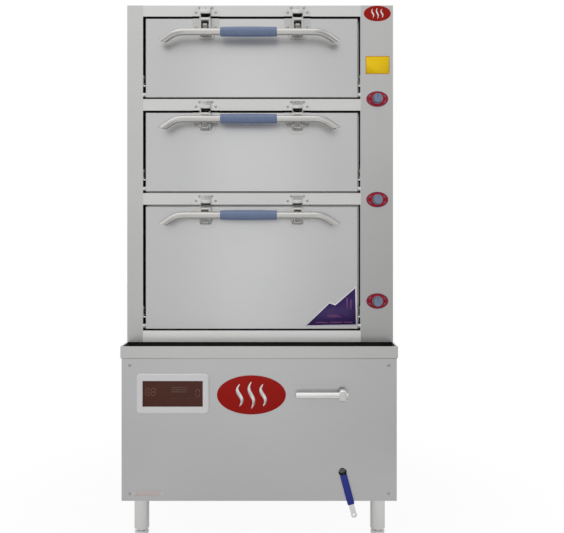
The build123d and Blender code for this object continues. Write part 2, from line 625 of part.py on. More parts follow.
def door_gaskets():
    """The silicone seal round each chamber's mouth."""
    rings = []
    for mouth in MOUTHS:
        y = (SLEEVE_BACK - GASKET_THICK, SLEEVE_BACK)
        ring = block(grown(MOUTH_X, GASKET_WIDTH), y, grown(mouth, GASKET_WIDTH))
        rings.append(ring - block(MOUTH_X, grown(y, 1), mouth))
    return rings


def insulation():
    """Slabs of insulation beside, behind, above and between the chambers."""
    x, y = grown(MOUTH_X, SHEET), (SLEEVE_BACK + 4, CHAMBER_BACK)
    left = block((-CAB_X + SHEET, x[0] - 1), y, (TRAY_FLOOR + 6, HEIGHT - SHEET))
    edges = [HEIGHT - SHEET]
    for low, high in MOUTHS:
        edges += [high + 2 * SHEET, low - 2 * SHEET]
    edges.append(TRAY_FLOOR + 6)
    slabs = [block(x, y, (edges[n + 1], edges[n])) for n in range(0, len(edges), 2)]
    return [left] + slabs


def exhaust_duct():
    """The flue behind the chambers, of flat sheets, and the flanged stub that leads out through the back."""
    x, z = EXHAUST_AT
    across, up = grown((x, x), DUCT_HALF), (MOUTHS[-1][1] - 80, z + 50)
    y = (CHAMBER_BACK + SHEET, CAB_BACK - SHEET)
    inside = grown(y, -SHEET)
    front = block(across, (y[0], inside[0]), up)
    for mouth in MOUTHS:
        front -= vent(y[0], mouth)
    back = block(across, (inside[1], y[1]), up) - rod_y(x, grown((inside[1], y[1]), 1), z, EXHAUST_BORE)
    sides = [block(x_limits, inside, up)
             for x_limits in ((across[0], across[0] + SHEET), (across[1] - SHEET, across[1]))]
    between = grown(across, -SHEET)
    ends = [block(between, inside, (up[0], up[0] + SHEET)), block(between, inside, (up[1] - SHEET, up[1]))]
    stub = join([
        rod_y(x, (y[1], CAB_BACK), z, EXHAUST_BORE + 1),
        rod_y(x, (CAB_BACK, CAB_BACK + SHEET), z, EXHAUST_FLANGE),
        rod_y(x, (CAB_BACK, CAB_BACK + 50), z, EXHAUST_RADIUS)])
    stub -= rod_y(x, (y[1] - 1, CAB_BACK + 51), z, EXHAUST_BORE)
    return [front, back, stub] + sides + ends


# ---- steam pipes and valves ---------------------------------------------------------------------------
BRANCH_DROP = 45.0  # the branch leaves the riser this far below its valve
BRANCH_RISE = 85.0  # and enters the chamber this far above it
FITTING = 15.0  # half the side of an elbow or tee block
VALVE_SPAN = 24.0


def elbow(x, z):
    """A forged elbow or tee, as a block with chamfered edges."""
    body = block(grown((x, x), FITTING), grown((PIPE_Y, PIPE_Y), FITTING), grown((z, z), FITTING))
    return chamfer(body.edges(), 3)


def steam_manifold():
    """The riser from the tank, and a branch with two elbows to each chamber."""
    start = TRAY_UNDER - 50
    top = KNOB_HEIGHTS[0] - BRANCH_DROP
    pieces = [
        rod_x((TANK_X[1], RISER_X), PIPE_Y, start, RISER_RADIUS),
        rod_z(RISER_X, PIPE_Y, (start, top), RISER_RADIUS),
        elbow(RISER_X, start)]
    for knob in KNOB_HEIGHTS:
        low, high = knob - BRANCH_DROP, knob + BRANCH_RISE
        pieces += [
            elbow(RISER_X, low), elbow(KNOB_X, low), elbow(KNOB_X, high),
            rod_x((KNOB_X, RISER_X), PIPE_Y, low, BRANCH_RADIUS),
            rod_z(KNOB_X, PIPE_Y, (low, knob - VALVE_SPAN), BRANCH_RADIUS),
            rod_z(KNOB_X, PIPE_Y, (knob + VALVE_SPAN, high), BRANCH_RADIUS),
            rod_x((MOUTH_X[1], KNOB_X), PIPE_Y, high, BRANCH_RADIUS)]
    return join(pieces)


def steam_valve(z):
    """One valve: a barrel with six-sided ends, and a bonnet that carries the stem towards the front."""
    ends = extrude(Pos(KNOB_X, PIPE_Y, z - VALVE_SPAN) * RegularPolygon(15, 6, major_radius=False), 2 * VALVE_SPAN)
    barrel = rod_z(KNOB_X, PIPE_Y, (z - 15, z + 15), 18)
    bonnet = rod_y(KNOB_X, (CAB_FRONT + 30, PIPE_Y), z, 11)
    body = join([ends, barrel, bonnet])
    return body - rod_y(KNOB_X, (CAB_FRONT + 29, PIPE_Y - 20), z, STEM_RADIUS + RUNNING)


def steam_valves():
    """The three valves."""
    return [steam_valve(z) for z in KNOB_HEIGHTS]


def dial_plates():
    """The oval plate behind each knob."""
    plates = []
    for z in KNOB_HEIGHTS:
        oval = Ellipse(DIAL_SIZE[0] / 2, DIAL_SIZE[1] / 2) - Circle(STEM_RADIUS + 2)
        plates.append(facing(Pos(KNOB_X, z) * oval, CAB_FRONT, PLATE_THICK))
    return plates


def steam_knob(z):
    """One knob: a skirt, a tapered grip with a pointer groove, and its stem."""
    face = CAB_FRONT - PLATE_THICK - 1
    skirt = rod_y(KNOB_X, (face - 8, face), z, KNOB_RADIUS)
    cone = Cone(KNOB_RADIUS - 1.5, KNOB_RADIUS - 3.5, KNOB_LENGTH - 8)
    grip = Pos(KNOB_X, face - (8 + KNOB_LENGTH) / 2, z) * Rot(90, 0, 0) * cone
    stem = rod_y(KNOB_X, (face - 4, PIPE_Y - 22), z, STEM_RADIUS)
    end = face - KNOB_LENGTH
    groove = block((KNOB_X - 1.2, KNOB_X + 1.2), (end - 1, end + 1.5), (z + 3, z + KNOB_RADIUS))
    return join([skirt, grip, stem]) - groove


# ---- latches ------------------------------------------------------------------------------------------
def keeper(x, z):
    """A keeper on the rail: a half-round plate and a sloping hood with an open pocket under it."""
    outline = Circle(KEEPER_RADIUS) & Pos(0, KEEPER_HEIGHT / 2) * Rectangle(2 * KEEPER_RADIUS, KEEPER_HEIGHT)
    plate = facing(Pos(x, z) * outline, RAIL_FRONT, PLATE_THICK + 1)
    front = CAB_FRONT - PLATE_THICK
    side = Polyline((front, 12), (front - 24, 12), (front - 24, 16), (front - 9, 32), (front, 32), close=True)
    hood = sideways(Pos(0, z) * make_face(side), (x - HOOD_HALF, x + HOOD_HALF))
    walls = [block(sorted((x + hand * HOOD_HALF, x + hand * (HOOD_HALF - 2))), (front - 22, front), (z + 4, z + 13))
             for hand in (-1, 1)]
    return join([plate, hood] + walls)


def keeper_plates():
    """Two keepers above each door."""
    return [keeper(x, high) for low, high in OPENINGS for x in LATCH_X]


def base_plate_outline():
    """The latch's plate on the door: straight sides, drawn in to a rounded foot."""
    half, foot_half = KEEPER_RADIUS - 1, 25.0
    outline = make_face(Polyline(
        (-half, 0), (half, 0), (half, -30), (foot_half, -BASE_PLATE_HEIGHT),
        (-foot_half, -BASE_PLATE_HEIGHT), (-half, -30), close=True))
    return fillet(outline.vertices().filter_by(lambda v: v.Y < -1), 14)


def latch_base(x, z):
    """A latch's base on the door: the plate, two cheeks, the roller between their tops and the pivot pin."""
    plate = facing(Pos(x, z) * base_plate_outline(), CAB_FRONT, PLATE_THICK)
    back, front = CAB_FRONT - PLATE_THICK, CAB_FRONT - PLATE_THICK - CHEEK_DEPTH
    side = make_face(Polyline(
        (back, 4), (front + 10, 4), (front, -6), (front, -46), (front + 16, -62), (back, -62), close=True))
    cheeks = [sideways(Pos(0, z) * side, (x + offset, x + offset + CHEEK_THICK))
              for offset in (CHEEK_GAP / 2, -CHEEK_GAP / 2 - CHEEK_THICK)]
    reach = CHEEK_GAP / 2 + CHEEK_THICK + 2
    pin = rod_x((x - reach, x + reach), CAB_FRONT - PIVOT_OUT, z - PIVOT_DROP, PIVOT_RADIUS)
    roller_y, roller_z = CAB_FRONT - ROLLER_AT[0], z + ROLLER_AT[1]
    roller = rod_x((x - CHEEK_GAP / 2 - 1, x + CHEEK_GAP / 2 + 1), roller_y, roller_z, ROLLER_RADIUS)
    return join([plate, pin, roller] + cheeks)


def lever(x, z):
    """A latch lever: a round hub on the pivot with a cam nose, and an arm welded to the back of the bar."""
    pivot = (CAB_FRONT - PIVOT_OUT, z - PIVOT_DROP)
    bar = (CAB_FRONT - BAR_OUT, z - BAR_DROP)
    reach = hypot(bar[0] - pivot[0], bar[1] - pivot[1])
    along = ((bar[0] - pivot[0]) / reach, (bar[1] - pivot[1]) / reach)
    weld = (pivot[0] + along[0] * (reach - BAR_RADIUS), pivot[1] + along[1] * (reach - BAR_RADIUS))
    half = CHEEK_GAP / 2 - 1.5
    arm = sideways(link(pivot, weld, 9, 7) - Pos(*bar) * Circle(BAR_RADIUS), (x - half + 3, x + half - 3))
    nose = (pivot[0] + 2, pivot[1] + CAM_REACH)
    cam = sideways(link(pivot, nose, 7, 4.5), (x - half + 5, x + half - 5))
    body = join([rod_x((x - half, x + half), *pivot, HUB_RADIUS), arm, cam])
    return body - rod_x((x - half - 1, x + half + 1), *pivot, PIVOT_RADIUS + RUNNING)


# ---- doors --------------------------------------------------------------------------------------------
def door_skin(limits):
    """The door's outer pan with its returns, the hinge blocks in its lower corners and a stay on each side."""
    y = (CAB_FRONT, CAB_FRONT + DOOR_THICK - SHEET)
    pan = block(DOOR_EDGES, y, limits)
    pan = chamfer(pan.faces().sort_by(Axis.Y)[0].edges(), 1.0)
    pan -= block(grown(DOOR_EDGES, -SHEET), (y[0] + SHEET, y[1] + 1), grown(limits, -SHEET))
    axis_z = limits[0] + HINGE_IN
    tail = (HINGE_Y + STAY_TAIL * cos(radians(STAY_ANGLE)), axis_z + STAY_TAIL * sin(radians(STAY_ANGLE)))
    stay = link((HINGE_Y, axis_z), tail, 9, 4.5)
    for edge, inward in ((DOOR_EDGES[0], 1), (DOOR_EDGES[1], -1)):
        corner = sorted((edge, edge + 22 * inward))
        pan += block(corner, (y[0] + SHEET, HINGE_Y + 12), (limits[0] + SHEET, axis_z + 12))
        pan += rod_x(sorted((edge, edge - 5.5 * inward)), HINGE_Y, axis_z, 9)
        pan += sideways(stay, sorted((edge - 2.5 * inward, edge - 5.5 * inward)))
        pan -= rod_x(sorted((edge - 6 * inward, edge + 19 * inward)), HINGE_Y, axis_z, PIN_RADIUS + RUNNING)
    return pan


def door_back(limits):
    """The door's inner pan, pressed into the back of the outer one."""
    back = CAB_FRONT + DOOR_THICK
    x, z = grown(DOOR_EDGES, -SHEET), grown(limits, -SHEET)
    pan = block(x, (back - 18, back - SHEET), z)
    pan -= block(grown(x, -SHEET), (back - 19, back - 2 * SHEET), grown(z, -SHEET))
    return pan + block(DOOR_EDGES, (back - SHEET, back), limits)


def hinge_pins():
    """For each door, a collared hinge pin and a stop pin for the stay on each jamb."""
    pins = []
    turned = radians(STAY_ANGLE + DOOR_OPEN)
    along, across = STAY_TAIL - 2, 8.1  # from the hinge axis to the stop pin, along the open stay and beside it
    stop = (along * cos(turned) - across * sin(turned), along * sin(turned) + across * cos(turned))
    for low, _ in DOOR_LIMITS:
        z = low + HINGE_IN
        for jamb, inward in ((OPENING_X[0], 1), (OPENING_X[1], -1)):
            collar = rod_x(sorted((jamb, jamb + 3 * inward)), HINGE_Y, z, 9)
            pin = rod_x(sorted((jamb, jamb + 27 * inward)), HINGE_Y, z, PIN_RADIUS)
            pins.append(join([collar, pin]))
            pins.append(rod_x(sorted((jamb, jamb + 8.5 * inward)), HINGE_Y + stop[0], z + stop[1], 3))
    return pins


# ---- handles ------------------------------------------------------------------------------------------
def handle_bar(z):
    """The long tube with its two drooping tails, each cut off a little nearer level than square."""
    y, bar_z = CAB_FRONT - BAR_OUT, z - BAR_DROP
    bend, spare = radians(BAR_BEND), 30.0
    corner = BAR_STRAIGHT + BAR_BEND_RADIUS * (1 - cos(bend)) / sin(bend)
    along, down = cos(bend), sin(bend)
    tail = corner - BAR_STRAIGHT + BAR_TAIL
    points = [(-corner - (tail + spare) * along, -(tail + spare) * down), (-corner, 0), (corner, 0),
              (corner + (tail + spare) * along, -(tail + spare) * down)]
    path = FilletPolyline(*[(BAR_X + x, y, bar_z + dz) for x, dz in points], radius=BAR_BEND_RADIUS)
    start = Plane(origin=path @ 0, z_dir=path % 0)
    tube = sweep(start * (Circle(BAR_RADIUS) - Circle(BAR_RADIUS - BAR_WALL)), path)
    for side in (-1, 1):
        end = Pos(BAR_X + side * (corner + tail * along), y, bar_z - tail * down)
        tube -= end * Rot(0, -side * BAR_CUT, 0) * block((-60, 60), (-30, 30), (-60, 0))
    return tube


def handle_grip(z):
    """The plastic grip, a little fuller in the middle, over the bar."""
    half = GRIP_LENGTH / 2
    profile = make_face(Polyline(
        (-half, BAR_RADIUS), (half, BAR_RADIUS), (half, GRIP_END_RADIUS - 2),
        (half - 2.5, GRIP_END_RADIUS), (30, GRIP_RADIUS), (-30, GRIP_RADIUS),
        (-half + 2.5, GRIP_END_RADIUS), (-half, GRIP_END_RADIUS - 2), close=True))
    return Pos(GRIP_X, CAB_FRONT - BAR_OUT, z - BAR_DROP) * revolve(profile, Axis.X, 360)


def handle_levers(z):
    """The two latch levers, welded to the bar."""
    return [lever(x, z) for x in LATCH_X]


def turned_handle(shapes, z, angle):
    """Turns a handle's pieces down about the latch pivots, to where the bar rests."""
    axis = Axis((0, CAB_FRONT - PIVOT_OUT, z - PIVOT_DROP), (1, 0, 0))
    return [shape.rotate(axis, angle) for shape in shapes]


# ---- writing the pieces -------------------------------------------------------------------------------
def nodes():
    """Every named piece, as a list of solids under its node's name."""
    named = {
        "base_frame": [base_frame()],
        "base_side_panels": base_side_panels(),
        "base_front_panel": [base_front_panel()],
        "base_back_panel": [base_back_panel()],
        "base_bottom_plate": [base_bottom_plate()],
        "deck_tray": [deck_tray()],
        "legs": legs(),
        "water_tank": [water_tank()],
        "induction_unit": induction_unit(),
        "fan_rotor": [fan_rotor()],
        "drain_pipe": [drain_pipe()],
        "drain_valve_body": [drain_valve_body()],
        "drain_lever": [drain_lever()],
        "drain_lever_sleeve": [drain_sleeve()],
        "display_bezel": [display_bezel()],
        "display_window": [display_window()],
        "gear_switch": [gear_switch()],
        "gear_lever": [gear_lever()],
        "water_inlet": [water_inlet()],
        "cable_gland": [cable_gland()],
        "casing_sides": casing_sides(),
        "casing_top": [casing_top()],
        "casing_back": [casing_back()],
        "front_frame": [front_frame()],
        "column_cover": [column_cover()],
        "chamber_liners": chamber_liners(),
        "steam_shelves": steam_shelves(),
        "door_gaskets": door_gaskets(),
        "insulation": insulation(),
        "exhaust_duct": exhaust_duct(),
        "steam_manifold": [steam_manifold()],
        "steam_valves": steam_valves(),
        "dial_plates": dial_plates(),
        "keeper_plates": keeper_plates(),
        "hinge_pins": hinge_pins(),
    }
    feet = [(-LEG_X, -LEG_Y), (LEG_X, -LEG_Y), (-LEG_X, LEG_Y), (LEG_X, LEG_Y)]
    for number, place in enumerate(feet, 1):
        named[f"foot_{number}"] = [foot(*place)]
    for number, z in enumerate(KNOB_HEIGHTS, 1):
        named[f"steam_knob_{number}"] = [steam_knob(z)]
    for number, (limits, rest) in enumerate(zip(DOOR_LIMITS, HANDLE_REST), 1):
        top = limits[1]
        named[f"door_{number}_skin"] = [door_skin(limits)]
        named[f"door_{number}_back"] = [door_back(limits)]
        named[f"door_{number}_latches"] = [latch_base(x, top) for x in LATCH_X]
        named[f"handle_{number}_bar"] = turned_handle([handle_bar(top)], top, rest)
        named[f"handle_{number}_grip"] = turned_handle([handle_grip(top)], top, rest)
        named[f"handle_{number}_levers"] = turned_handle(handle_levers(top), top, rest)
    return named


def main():
    """Writes one STEP file for each node."""
    os.makedirs("parts", exist_ok=True)
    for name, solids in nodes().items():
        flat = [solid for shape in solids for solid in shape.solids()]
        export_step(Compound(children=flat) if len(flat) > 1 else flat[0], f"parts/{name}.step")


if __name__ == "__main__":
    main()
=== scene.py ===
"""Dresses the three-door steam cabinet: its finishes, small fasteners, badges and display, and the studio.

Every length is in metres in the model's own frame: the front is -Y, +Z is up, and the origin is on the floor.
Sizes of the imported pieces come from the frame, and the sizes held here are those of what is added to them.
"""

import logging
import math
import random
from dataclasses import dataclass
from enum import Enum
from typing import Iterable, Optional, Sequence, Union

import bpy
from mathutils import Matrix, Vector

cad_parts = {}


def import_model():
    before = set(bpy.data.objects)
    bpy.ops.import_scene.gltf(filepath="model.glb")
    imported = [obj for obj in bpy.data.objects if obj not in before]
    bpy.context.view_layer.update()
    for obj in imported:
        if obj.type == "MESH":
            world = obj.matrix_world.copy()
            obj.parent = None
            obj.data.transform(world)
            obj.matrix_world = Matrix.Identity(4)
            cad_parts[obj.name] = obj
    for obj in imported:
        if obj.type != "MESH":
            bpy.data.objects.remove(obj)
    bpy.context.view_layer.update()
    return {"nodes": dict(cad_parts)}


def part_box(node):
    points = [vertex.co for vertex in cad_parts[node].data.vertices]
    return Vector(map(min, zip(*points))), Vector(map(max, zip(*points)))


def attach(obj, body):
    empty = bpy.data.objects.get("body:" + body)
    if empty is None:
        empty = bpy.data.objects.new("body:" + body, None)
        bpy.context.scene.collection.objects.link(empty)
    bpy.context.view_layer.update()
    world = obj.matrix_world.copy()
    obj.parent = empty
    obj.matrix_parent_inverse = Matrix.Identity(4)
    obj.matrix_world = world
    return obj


log = logging.getLogger("steam_cabinet")

CABINET = "cabinet"
DOORS = (1, 2, 3)

Colour = tuple[float, float, float]
Point = tuple[float, float]
Value = Union["Wire", float]


def grey(level: float) -> Colour:
    """A neutral colour of one linear level."""
    return (level, level, level)


# ---- shader graphs ------------------------------------------------------------------------------------
class Wire:
    """An output socket that adds Math nodes as it is used in an expression."""

    def __init__(self, graph: "Graph", socket: Optional[bpy.types.NodeSocket]) -> None:
        """Keeps the graph, so that an expression knows where to add its nodes."""
        self.graph = graph
        self.socket = socket

    def _math(self, operation: str, *values: Value) -> "Wire":
        """Adds one Math node, with its inputs in order as wires or numbers."""
        return self.graph.add("ShaderNodeMath", {"operation": operation}, dict(enumerate(values)))

    def __add__(self, other: Value) -> "Wire":
        """The sum."""
        return self._math("ADD", self, other)

    def __radd__(self, other: float) -> "Wire":
        """The sum, with a number on the left."""
        return self._math("ADD", other, self)

    def __sub__(self, other: Value) -> "Wire":
        """The difference."""
        return self._math("SUBTRACT", self, other)

    def __rsub__(self, other: float) -> "Wire":
        """A number less this."""
        return self._math("SUBTRACT", other, self)

    def __mul__(self, other: Value) -> "Wire":
        """The product."""
        return self._math("MULTIPLY", self, other)

    def __rmul__(self, other: float) -> "Wire":
        """The product, with a number on the left."""
        return self._math("MULTIPLY", other, self)

    def clamp(self) -> "Wire":
        """The value held between 0 and 1."""
        return self.graph.add("ShaderNodeClamp", {}, {"Value": self})

    def between(self, low: float, high: float) -> "Wire":
        """A smooth rise from 0 at low to 1 at high."""
        settings = {"interpolation_type": "SMOOTHSTEP"}
        return self.graph.add("ShaderNodeMapRange", settings, {"Value": self, "From Min": low, "From Max": high})


class Graph:
    """A material's or world's node tree, with one method that adds any node."""

    def __init__(self, tree: bpy.types.NodeTree) -> None:
        """Starts from an empty tree."""
        self.tree = tree
        tree.nodes.clear()

    def add(self, kind: str, settings: dict, sockets: dict, output: Union[int, str] = 0) -> Wire:
        """Adds a node, sets its options and then its inputs.

        Args:
            kind: the node's type.
            settings: options by name, such as a Math node's operation, set before the sockets.
            sockets: values or wires by the input's name or number.
            output: the name or number of the output to return.

        Returns:
            That output, which holds no socket where the node has none.
        """
        node = self.tree.nodes.new(kind)
        for name, value in settings.items():
            setattr(node, name, value)
        for key, value in sockets.items():
            if isinstance(value, Wire):
                self.tree.links.new(value.socket, node.inputs[key])
            elif isinstance(value, tuple) and node.inputs[key].type == "RGBA":
                node.inputs[key].default_value = (*value, 1.0)
            else:
                node.inputs[key].default_value = value
        return Wire(self, node.outputs[output] if len(node.outputs) else None)

    def place(self) -> Wire:
        """The point's place in its piece's own frame, in metres."""
        return self.add("ShaderNodeTexCoord", {}, {}, "Object")

    def part_of(self, vector: Wire, axis: str) -> Wire:
        """One component of a vector."""
        return self.add("ShaderNodeSeparateXYZ", {}, {0: vector}, axis)

    def stretched(self, vector: Wire, scale: tuple[float, float, float]) -> Wire:
        """A vector scaled along each axis."""
        return self.add("ShaderNodeVectorMath", {"operation": "MULTIPLY"}, {0: vector, 1: scale})

    def noise(self, vector: Wire, scale: float, detail: float = 2.0, roughness: float = 0.5) -> Wire:
        """Smooth noise about 0.5, by its frequency for each metre and its finer layers' number and strength."""
        return self.add("ShaderNodeTexNoise", {}, {
            "Vector": vector, "Scale": scale, "Detail": detail, "Roughness": roughness})

    def blend(self, factor: Value, first: Union[Wire, Colour], second: Union[Wire, Colour]) -> Wire:
        """Two colours mixed, where a factor of 0 gives the first and 1 the second."""
        return self.add("ShaderNodeMix", {"data_type": "RGBA"}, {0: factor, 6: first, 7: second}, 2)

    def shade(self, colour: Union[Wire, Colour], level: Wire) -> Wire:
        """A colour made lighter or darker by a level about 1."""
        return self.add("ShaderNodeVectorMath", {"operation": "SCALE"}, {0: colour, "Scale": level})

    def bump(self, height: Wire, depth: float, strength: float = 1.0) -> Wire:
        """The surface's normal over a relief from 0 to 1 whose depth is in metres."""
        return self.add("ShaderNodeBump", {}, {"Height": height, "Distance": depth, "Strength": strength})

    def ray(self, kind: str) -> Wire:
        """1 for one kind of ray and 0 for the others."""
        return self.add("ShaderNodeLightPath", {}, {}, kind)

    def direct(self) -> Wire:
        """1 for rays that reach the camera straight or through a clear part, and 0 for the others."""
        return (self.ray("Is Camera Ray") + self.ray("Is Transmission Ray")).clamp()


# ---- finishes -----------------------------------------------------------------------------------------
class Grain(Enum):
    """Which way a sheet was brushed, as noise frequencies for each metre along X, Y and Z."""

    ACROSS = (7.0, 420.0, 420.0)
    UPRIGHT = (420.0, 420.0, 7.0)
    DEEP = (420.0, 7.0, 420.0)
    EVEN = (160.0, 160.0, 160.0)


@dataclass(frozen=True)
class Finish:
    """One finish, with the sockets of its Principled shader."""

    name: str

    def paint(self) -> bpy.types.Material:
        """Makes the finish's material.

        Returns:
            The material.
        """
        material = bpy.data.materials.new(self.name)
        material.use_nodes = True
        graph = Graph(material.node_tree)
        shader = graph.add("ShaderNodeBsdfPrincipled", {}, {**self.fixed(), **self.wires(graph)})
        graph.add("ShaderNodeOutputMaterial", {}, {"Surface": shader})
        return material

    def fixed(self) -> dict:
        """The sockets that are the same all over the surface."""
        return {}

    def wires(self, graph: Graph) -> dict:
        """The sockets that vary over the surface."""
        raise NotImplementedError


@dataclass(frozen=True)
class Steel(Finish):
    """Stainless steel, from a brushed sheet to a polished bar."""

    level: float = 0.58
    roughness: float = 0.34
    grain: Grain = Grain.ACROSS
    streak: float = 0.05
    cloud: float = 0.05
    relief: float = 0.00003
    # painted shade by height: where the change starts and ends, and how much it adds
    painted_height_shade: tuple[float, float, float] = (0.0, 0.0, 0.0)
    warmth: float = 0.015
    # painted highlight: an upright bright band across X, its strength and where it rises and falls
    painted_highlight: float = 0.0
    painted_highlight_rise: Point = (-0.34, -0.06)
    painted_highlight_fall: Point = (0.0, 0.29)
    cloud_scale: float = 2.3
    wiped_scale: float = 9.0
    wiped_span: Point = (0.55, 0.78)
    brushed_rough: float = 0.10
    wiped_rough: float = 0.05

    def fixed(self) -> dict:
        """Steel is metal all over."""
        return {"Metallic": 1.0}

    def wires(self, graph: Graph) -> dict:
        """Fine brushing under broad uneven tones and rougher wiped patches, with painted shade by height and a
        painted highlight band across X.

        Args:
            graph: the material's graph.

        Returns:
            The colour, roughness and normal.
        """
        place = graph.place()
        brushed = graph.noise(graph.stretched(place, self.grain.value), 1.0, 3.0, 0.6)
        broad = graph.noise(place, self.cloud_scale, 2.0, 0.45)
        flattened = graph.stretched(place, (1.0, 1.0, 2.2))
        wiped = graph.noise(flattened, self.wiped_scale, 3.0, 0.55).between(*self.wiped_span)
        level = 1.0 + (brushed - 0.5) * (2 * self.streak) + (broad - 0.5) * (2 * self.cloud)
        # painted shade: the colour grows lighter or darker with height
        bottom, top, change = self.painted_height_shade
        if change:
            level = level + graph.part_of(place, "Z").between(bottom, top) * change
        # painted highlight: a bright upright band across X
        if self.painted_highlight:
            across = graph.part_of(place, "X")
            lit = across.between(*self.painted_highlight_rise) * (1.0 - across.between(*self.painted_highlight_fall))
            level = level + lit * self.painted_highlight
        rough = self.roughness + (brushed - 0.5) * self.brushed_rough + wiped * self.wiped_rough
        tint = (self.level, self.level * (1.0 - self.warmth / 3), self.level * (1.0 - self.warmth))
        return {
            "Base Color": graph.shade(tint, level),
            "Roughness": rough.clamp(),
            "Normal": graph.bump(brushed, self.relief, 0.6)}


@dataclass(frozen=True)
class FrontSteel(Steel):
    """The front frame's steel, with painted shade on the stile, painted light on the bottom rail and black
    painted shade deep in the openings.
    """

    face: float = -0.340
    # painted shade: how deep into the openings the black starts and ends
    gap_shade_depth: Point = (0.0025, 0.0045)
    stile_edge: Point = (-0.4185, -0.4165)
    # painted shade on the stile: how much darker it is at its top and at its bottom, and the heights between
    stile_painted_shade: Point = (0.12, 0.17)
    stile_shade_span: Point = (0.75, 1.70)
    # painted light on the bottom rail: the heights where it stops and how much brighter the rail is made
    rail_top: Point = (0.699, 0.704)
    rail_lift: float = 0.26
    # painted shade deep in the openings: its near-black tone and the roughness it adds
    gap_shade_tone: float = 0.006
    gap_shade_rough: float = 0.4

    def wires(self, graph: Graph) -> dict:
        """The sheet's steel with painted shade on the stile, painted light on the bottom rail and black painted
        shade in the openings.

        Args:
            graph: the material's graph.

        Returns:
            The colour, metal, roughness and normal.
        """
        wires = super().wires(graph)
        place = graph.place()
        depth = graph.part_of(place, "Y") - self.face
        height = graph.part_of(place, "Z")
        stile = 1.0 - graph.part_of(place, "X").between(*self.stile_edge)
        # painted shade on the stile, deeper towards its bottom
        stile_shade = self.stile_painted_shade[1] - height.between(*self.stile_shade_span) * (self.stile_painted_shade[1] - self.stile_painted_shade[0])
        # painted light on the bottom rail, below its top and off the stile
        lift = (1.0 - height.between(*self.rail_top)) * (1.0 - stile) * self.rail_lift
        tone = 1.0 - stile * stile_shade + lift
        # painted shade: black, matt and not metal deep in the openings, where shade falls
        gap_shade = depth.between(*self.gap_shade_depth)
        return {
            **wires,
            "Base Color": graph.blend(gap_shade, graph.shade(wires["Base Color"], tone), grey(self.gap_shade_tone)),
            "Metallic": 1.0 - gap_shade,
            "Roughness": (wires["Roughness"] + gap_shade * self.gap_shade_rough).clamp()}


@dataclass(frozen=True)
class Moulding(Finish):
    """A moulded plastic with a fine spark-eroded texture."""

    colour: Colour
    roughness: float = 0.42
    mottle: float = 0.06
    coat: float = 0.0
    pit_scale: float = 1500.0
    pit_rough: float = 0.16
    pit_depth: float = 0.00006
    flow_scale: float = 26.0
    flow_rough: float = 0.08

    def fixed(self) -> dict:
        """The clear skin over the plastic."""
        return {"Coat Weight": self.coat, "Coat Roughness": 0.2}

    def wires(self, graph: Graph) -> dict:
        """A fine pitted skin over faint flow marks.

        Args:
            graph: the material's graph.

        Returns:
            The colour, roughness and normal.
        """
        place = graph.place()
        pits = graph.noise(place, self.pit_scale)
        flow = graph.noise(place, self.flow_scale, 3.0)
        rough = self.roughness + (pits - 0.5) * self.pit_rough + (flow - 0.5) * self.flow_rough
        return {
            "Base Color": graph.shade(self.colour, 1.0 + (flow - 0.5) * (2 * self.mottle)),
            "Roughness": rough.clamp(),
            "Normal": graph.bump(pits, self.pit_depth, 0.5)}


@dataclass(frozen=True)
class Enamel(Finish):
    """A smooth printed or dipped colour, whose tone deepens towards its lower edge."""

    upper: Colour
    lower: Colour
    span: Point
    roughness: float = 0.36
    shine: float = 0.25
    skin_scale: float = 380.0
    skin_rough: float = 0.08
    skin_depth: float = 0.00005

    def fixed(self) -> dict:
        """The strength of its shine."""
        return {"Specular IOR Level": self.shine}

    def wires(self, graph: Graph) -> dict:
        """Two tones blended by height, with a faint orange-peel skin.

        Args:
            graph: the material's graph.

        Returns:
            The colour, roughness and normal.
        """
        place = graph.place()
        height = graph.part_of(place, "Z").between(*self.span)
        skin = graph.noise(place, self.skin_scale)
        return {
            "Base Color": graph.blend(height, self.lower, self.upper),
            "Roughness": (self.roughness + (skin - 0.5) * self.skin_rough).clamp(),
            "Normal": graph.bump(skin, self.skin_depth, 0.35)}


@dataclass(frozen=True)
class Wool(Finish):
    """Loose mineral wool."""

    colour: Colour
    fibre_scale: float = 140.0

    def wires(self, graph: Graph) -> dict:
        """Matted fibres.

        Args:
            graph: the material's graph.

        Returns:
            The colour, roughness and normal.
        """
        fibres = graph.noise(graph.stretched(graph.place(), (1.0, 1.0, 3.0)), self.fibre_scale, 6.0, 0.7)
        return {
            "Base Color": graph.shade(self.colour, 0.7 + fibres * 0.6),
            "Roughness": (0.8 + fibres * 0.2).clamp(),
            "Normal": graph.bump(fibres, 0.002, 0.9)}


@dataclass(frozen=True)
class Glow(Finish):
    """Display segments lit from behind."""

    colour: Colour
    strength: float
    patch_scale: float = 90.0

    def fixed(self) -> dict:
        """The strength of its light."""
        return {"Emission Strength": self.strength}

    def wires(self, graph: Graph) -> dict:
        """A slightly uneven light.

        Args:
            graph: the material's graph.

        Returns:
            The colour, light and roughness.
        """
        patch = graph.noise(graph.place(), self.patch_scale)
        lit = graph.shade(self.colour, 0.8 + patch * 0.4)
        return {"Base Color": lit, "Emission Color": lit, "Roughness": (0.35 + patch * 0.1).clamp()}


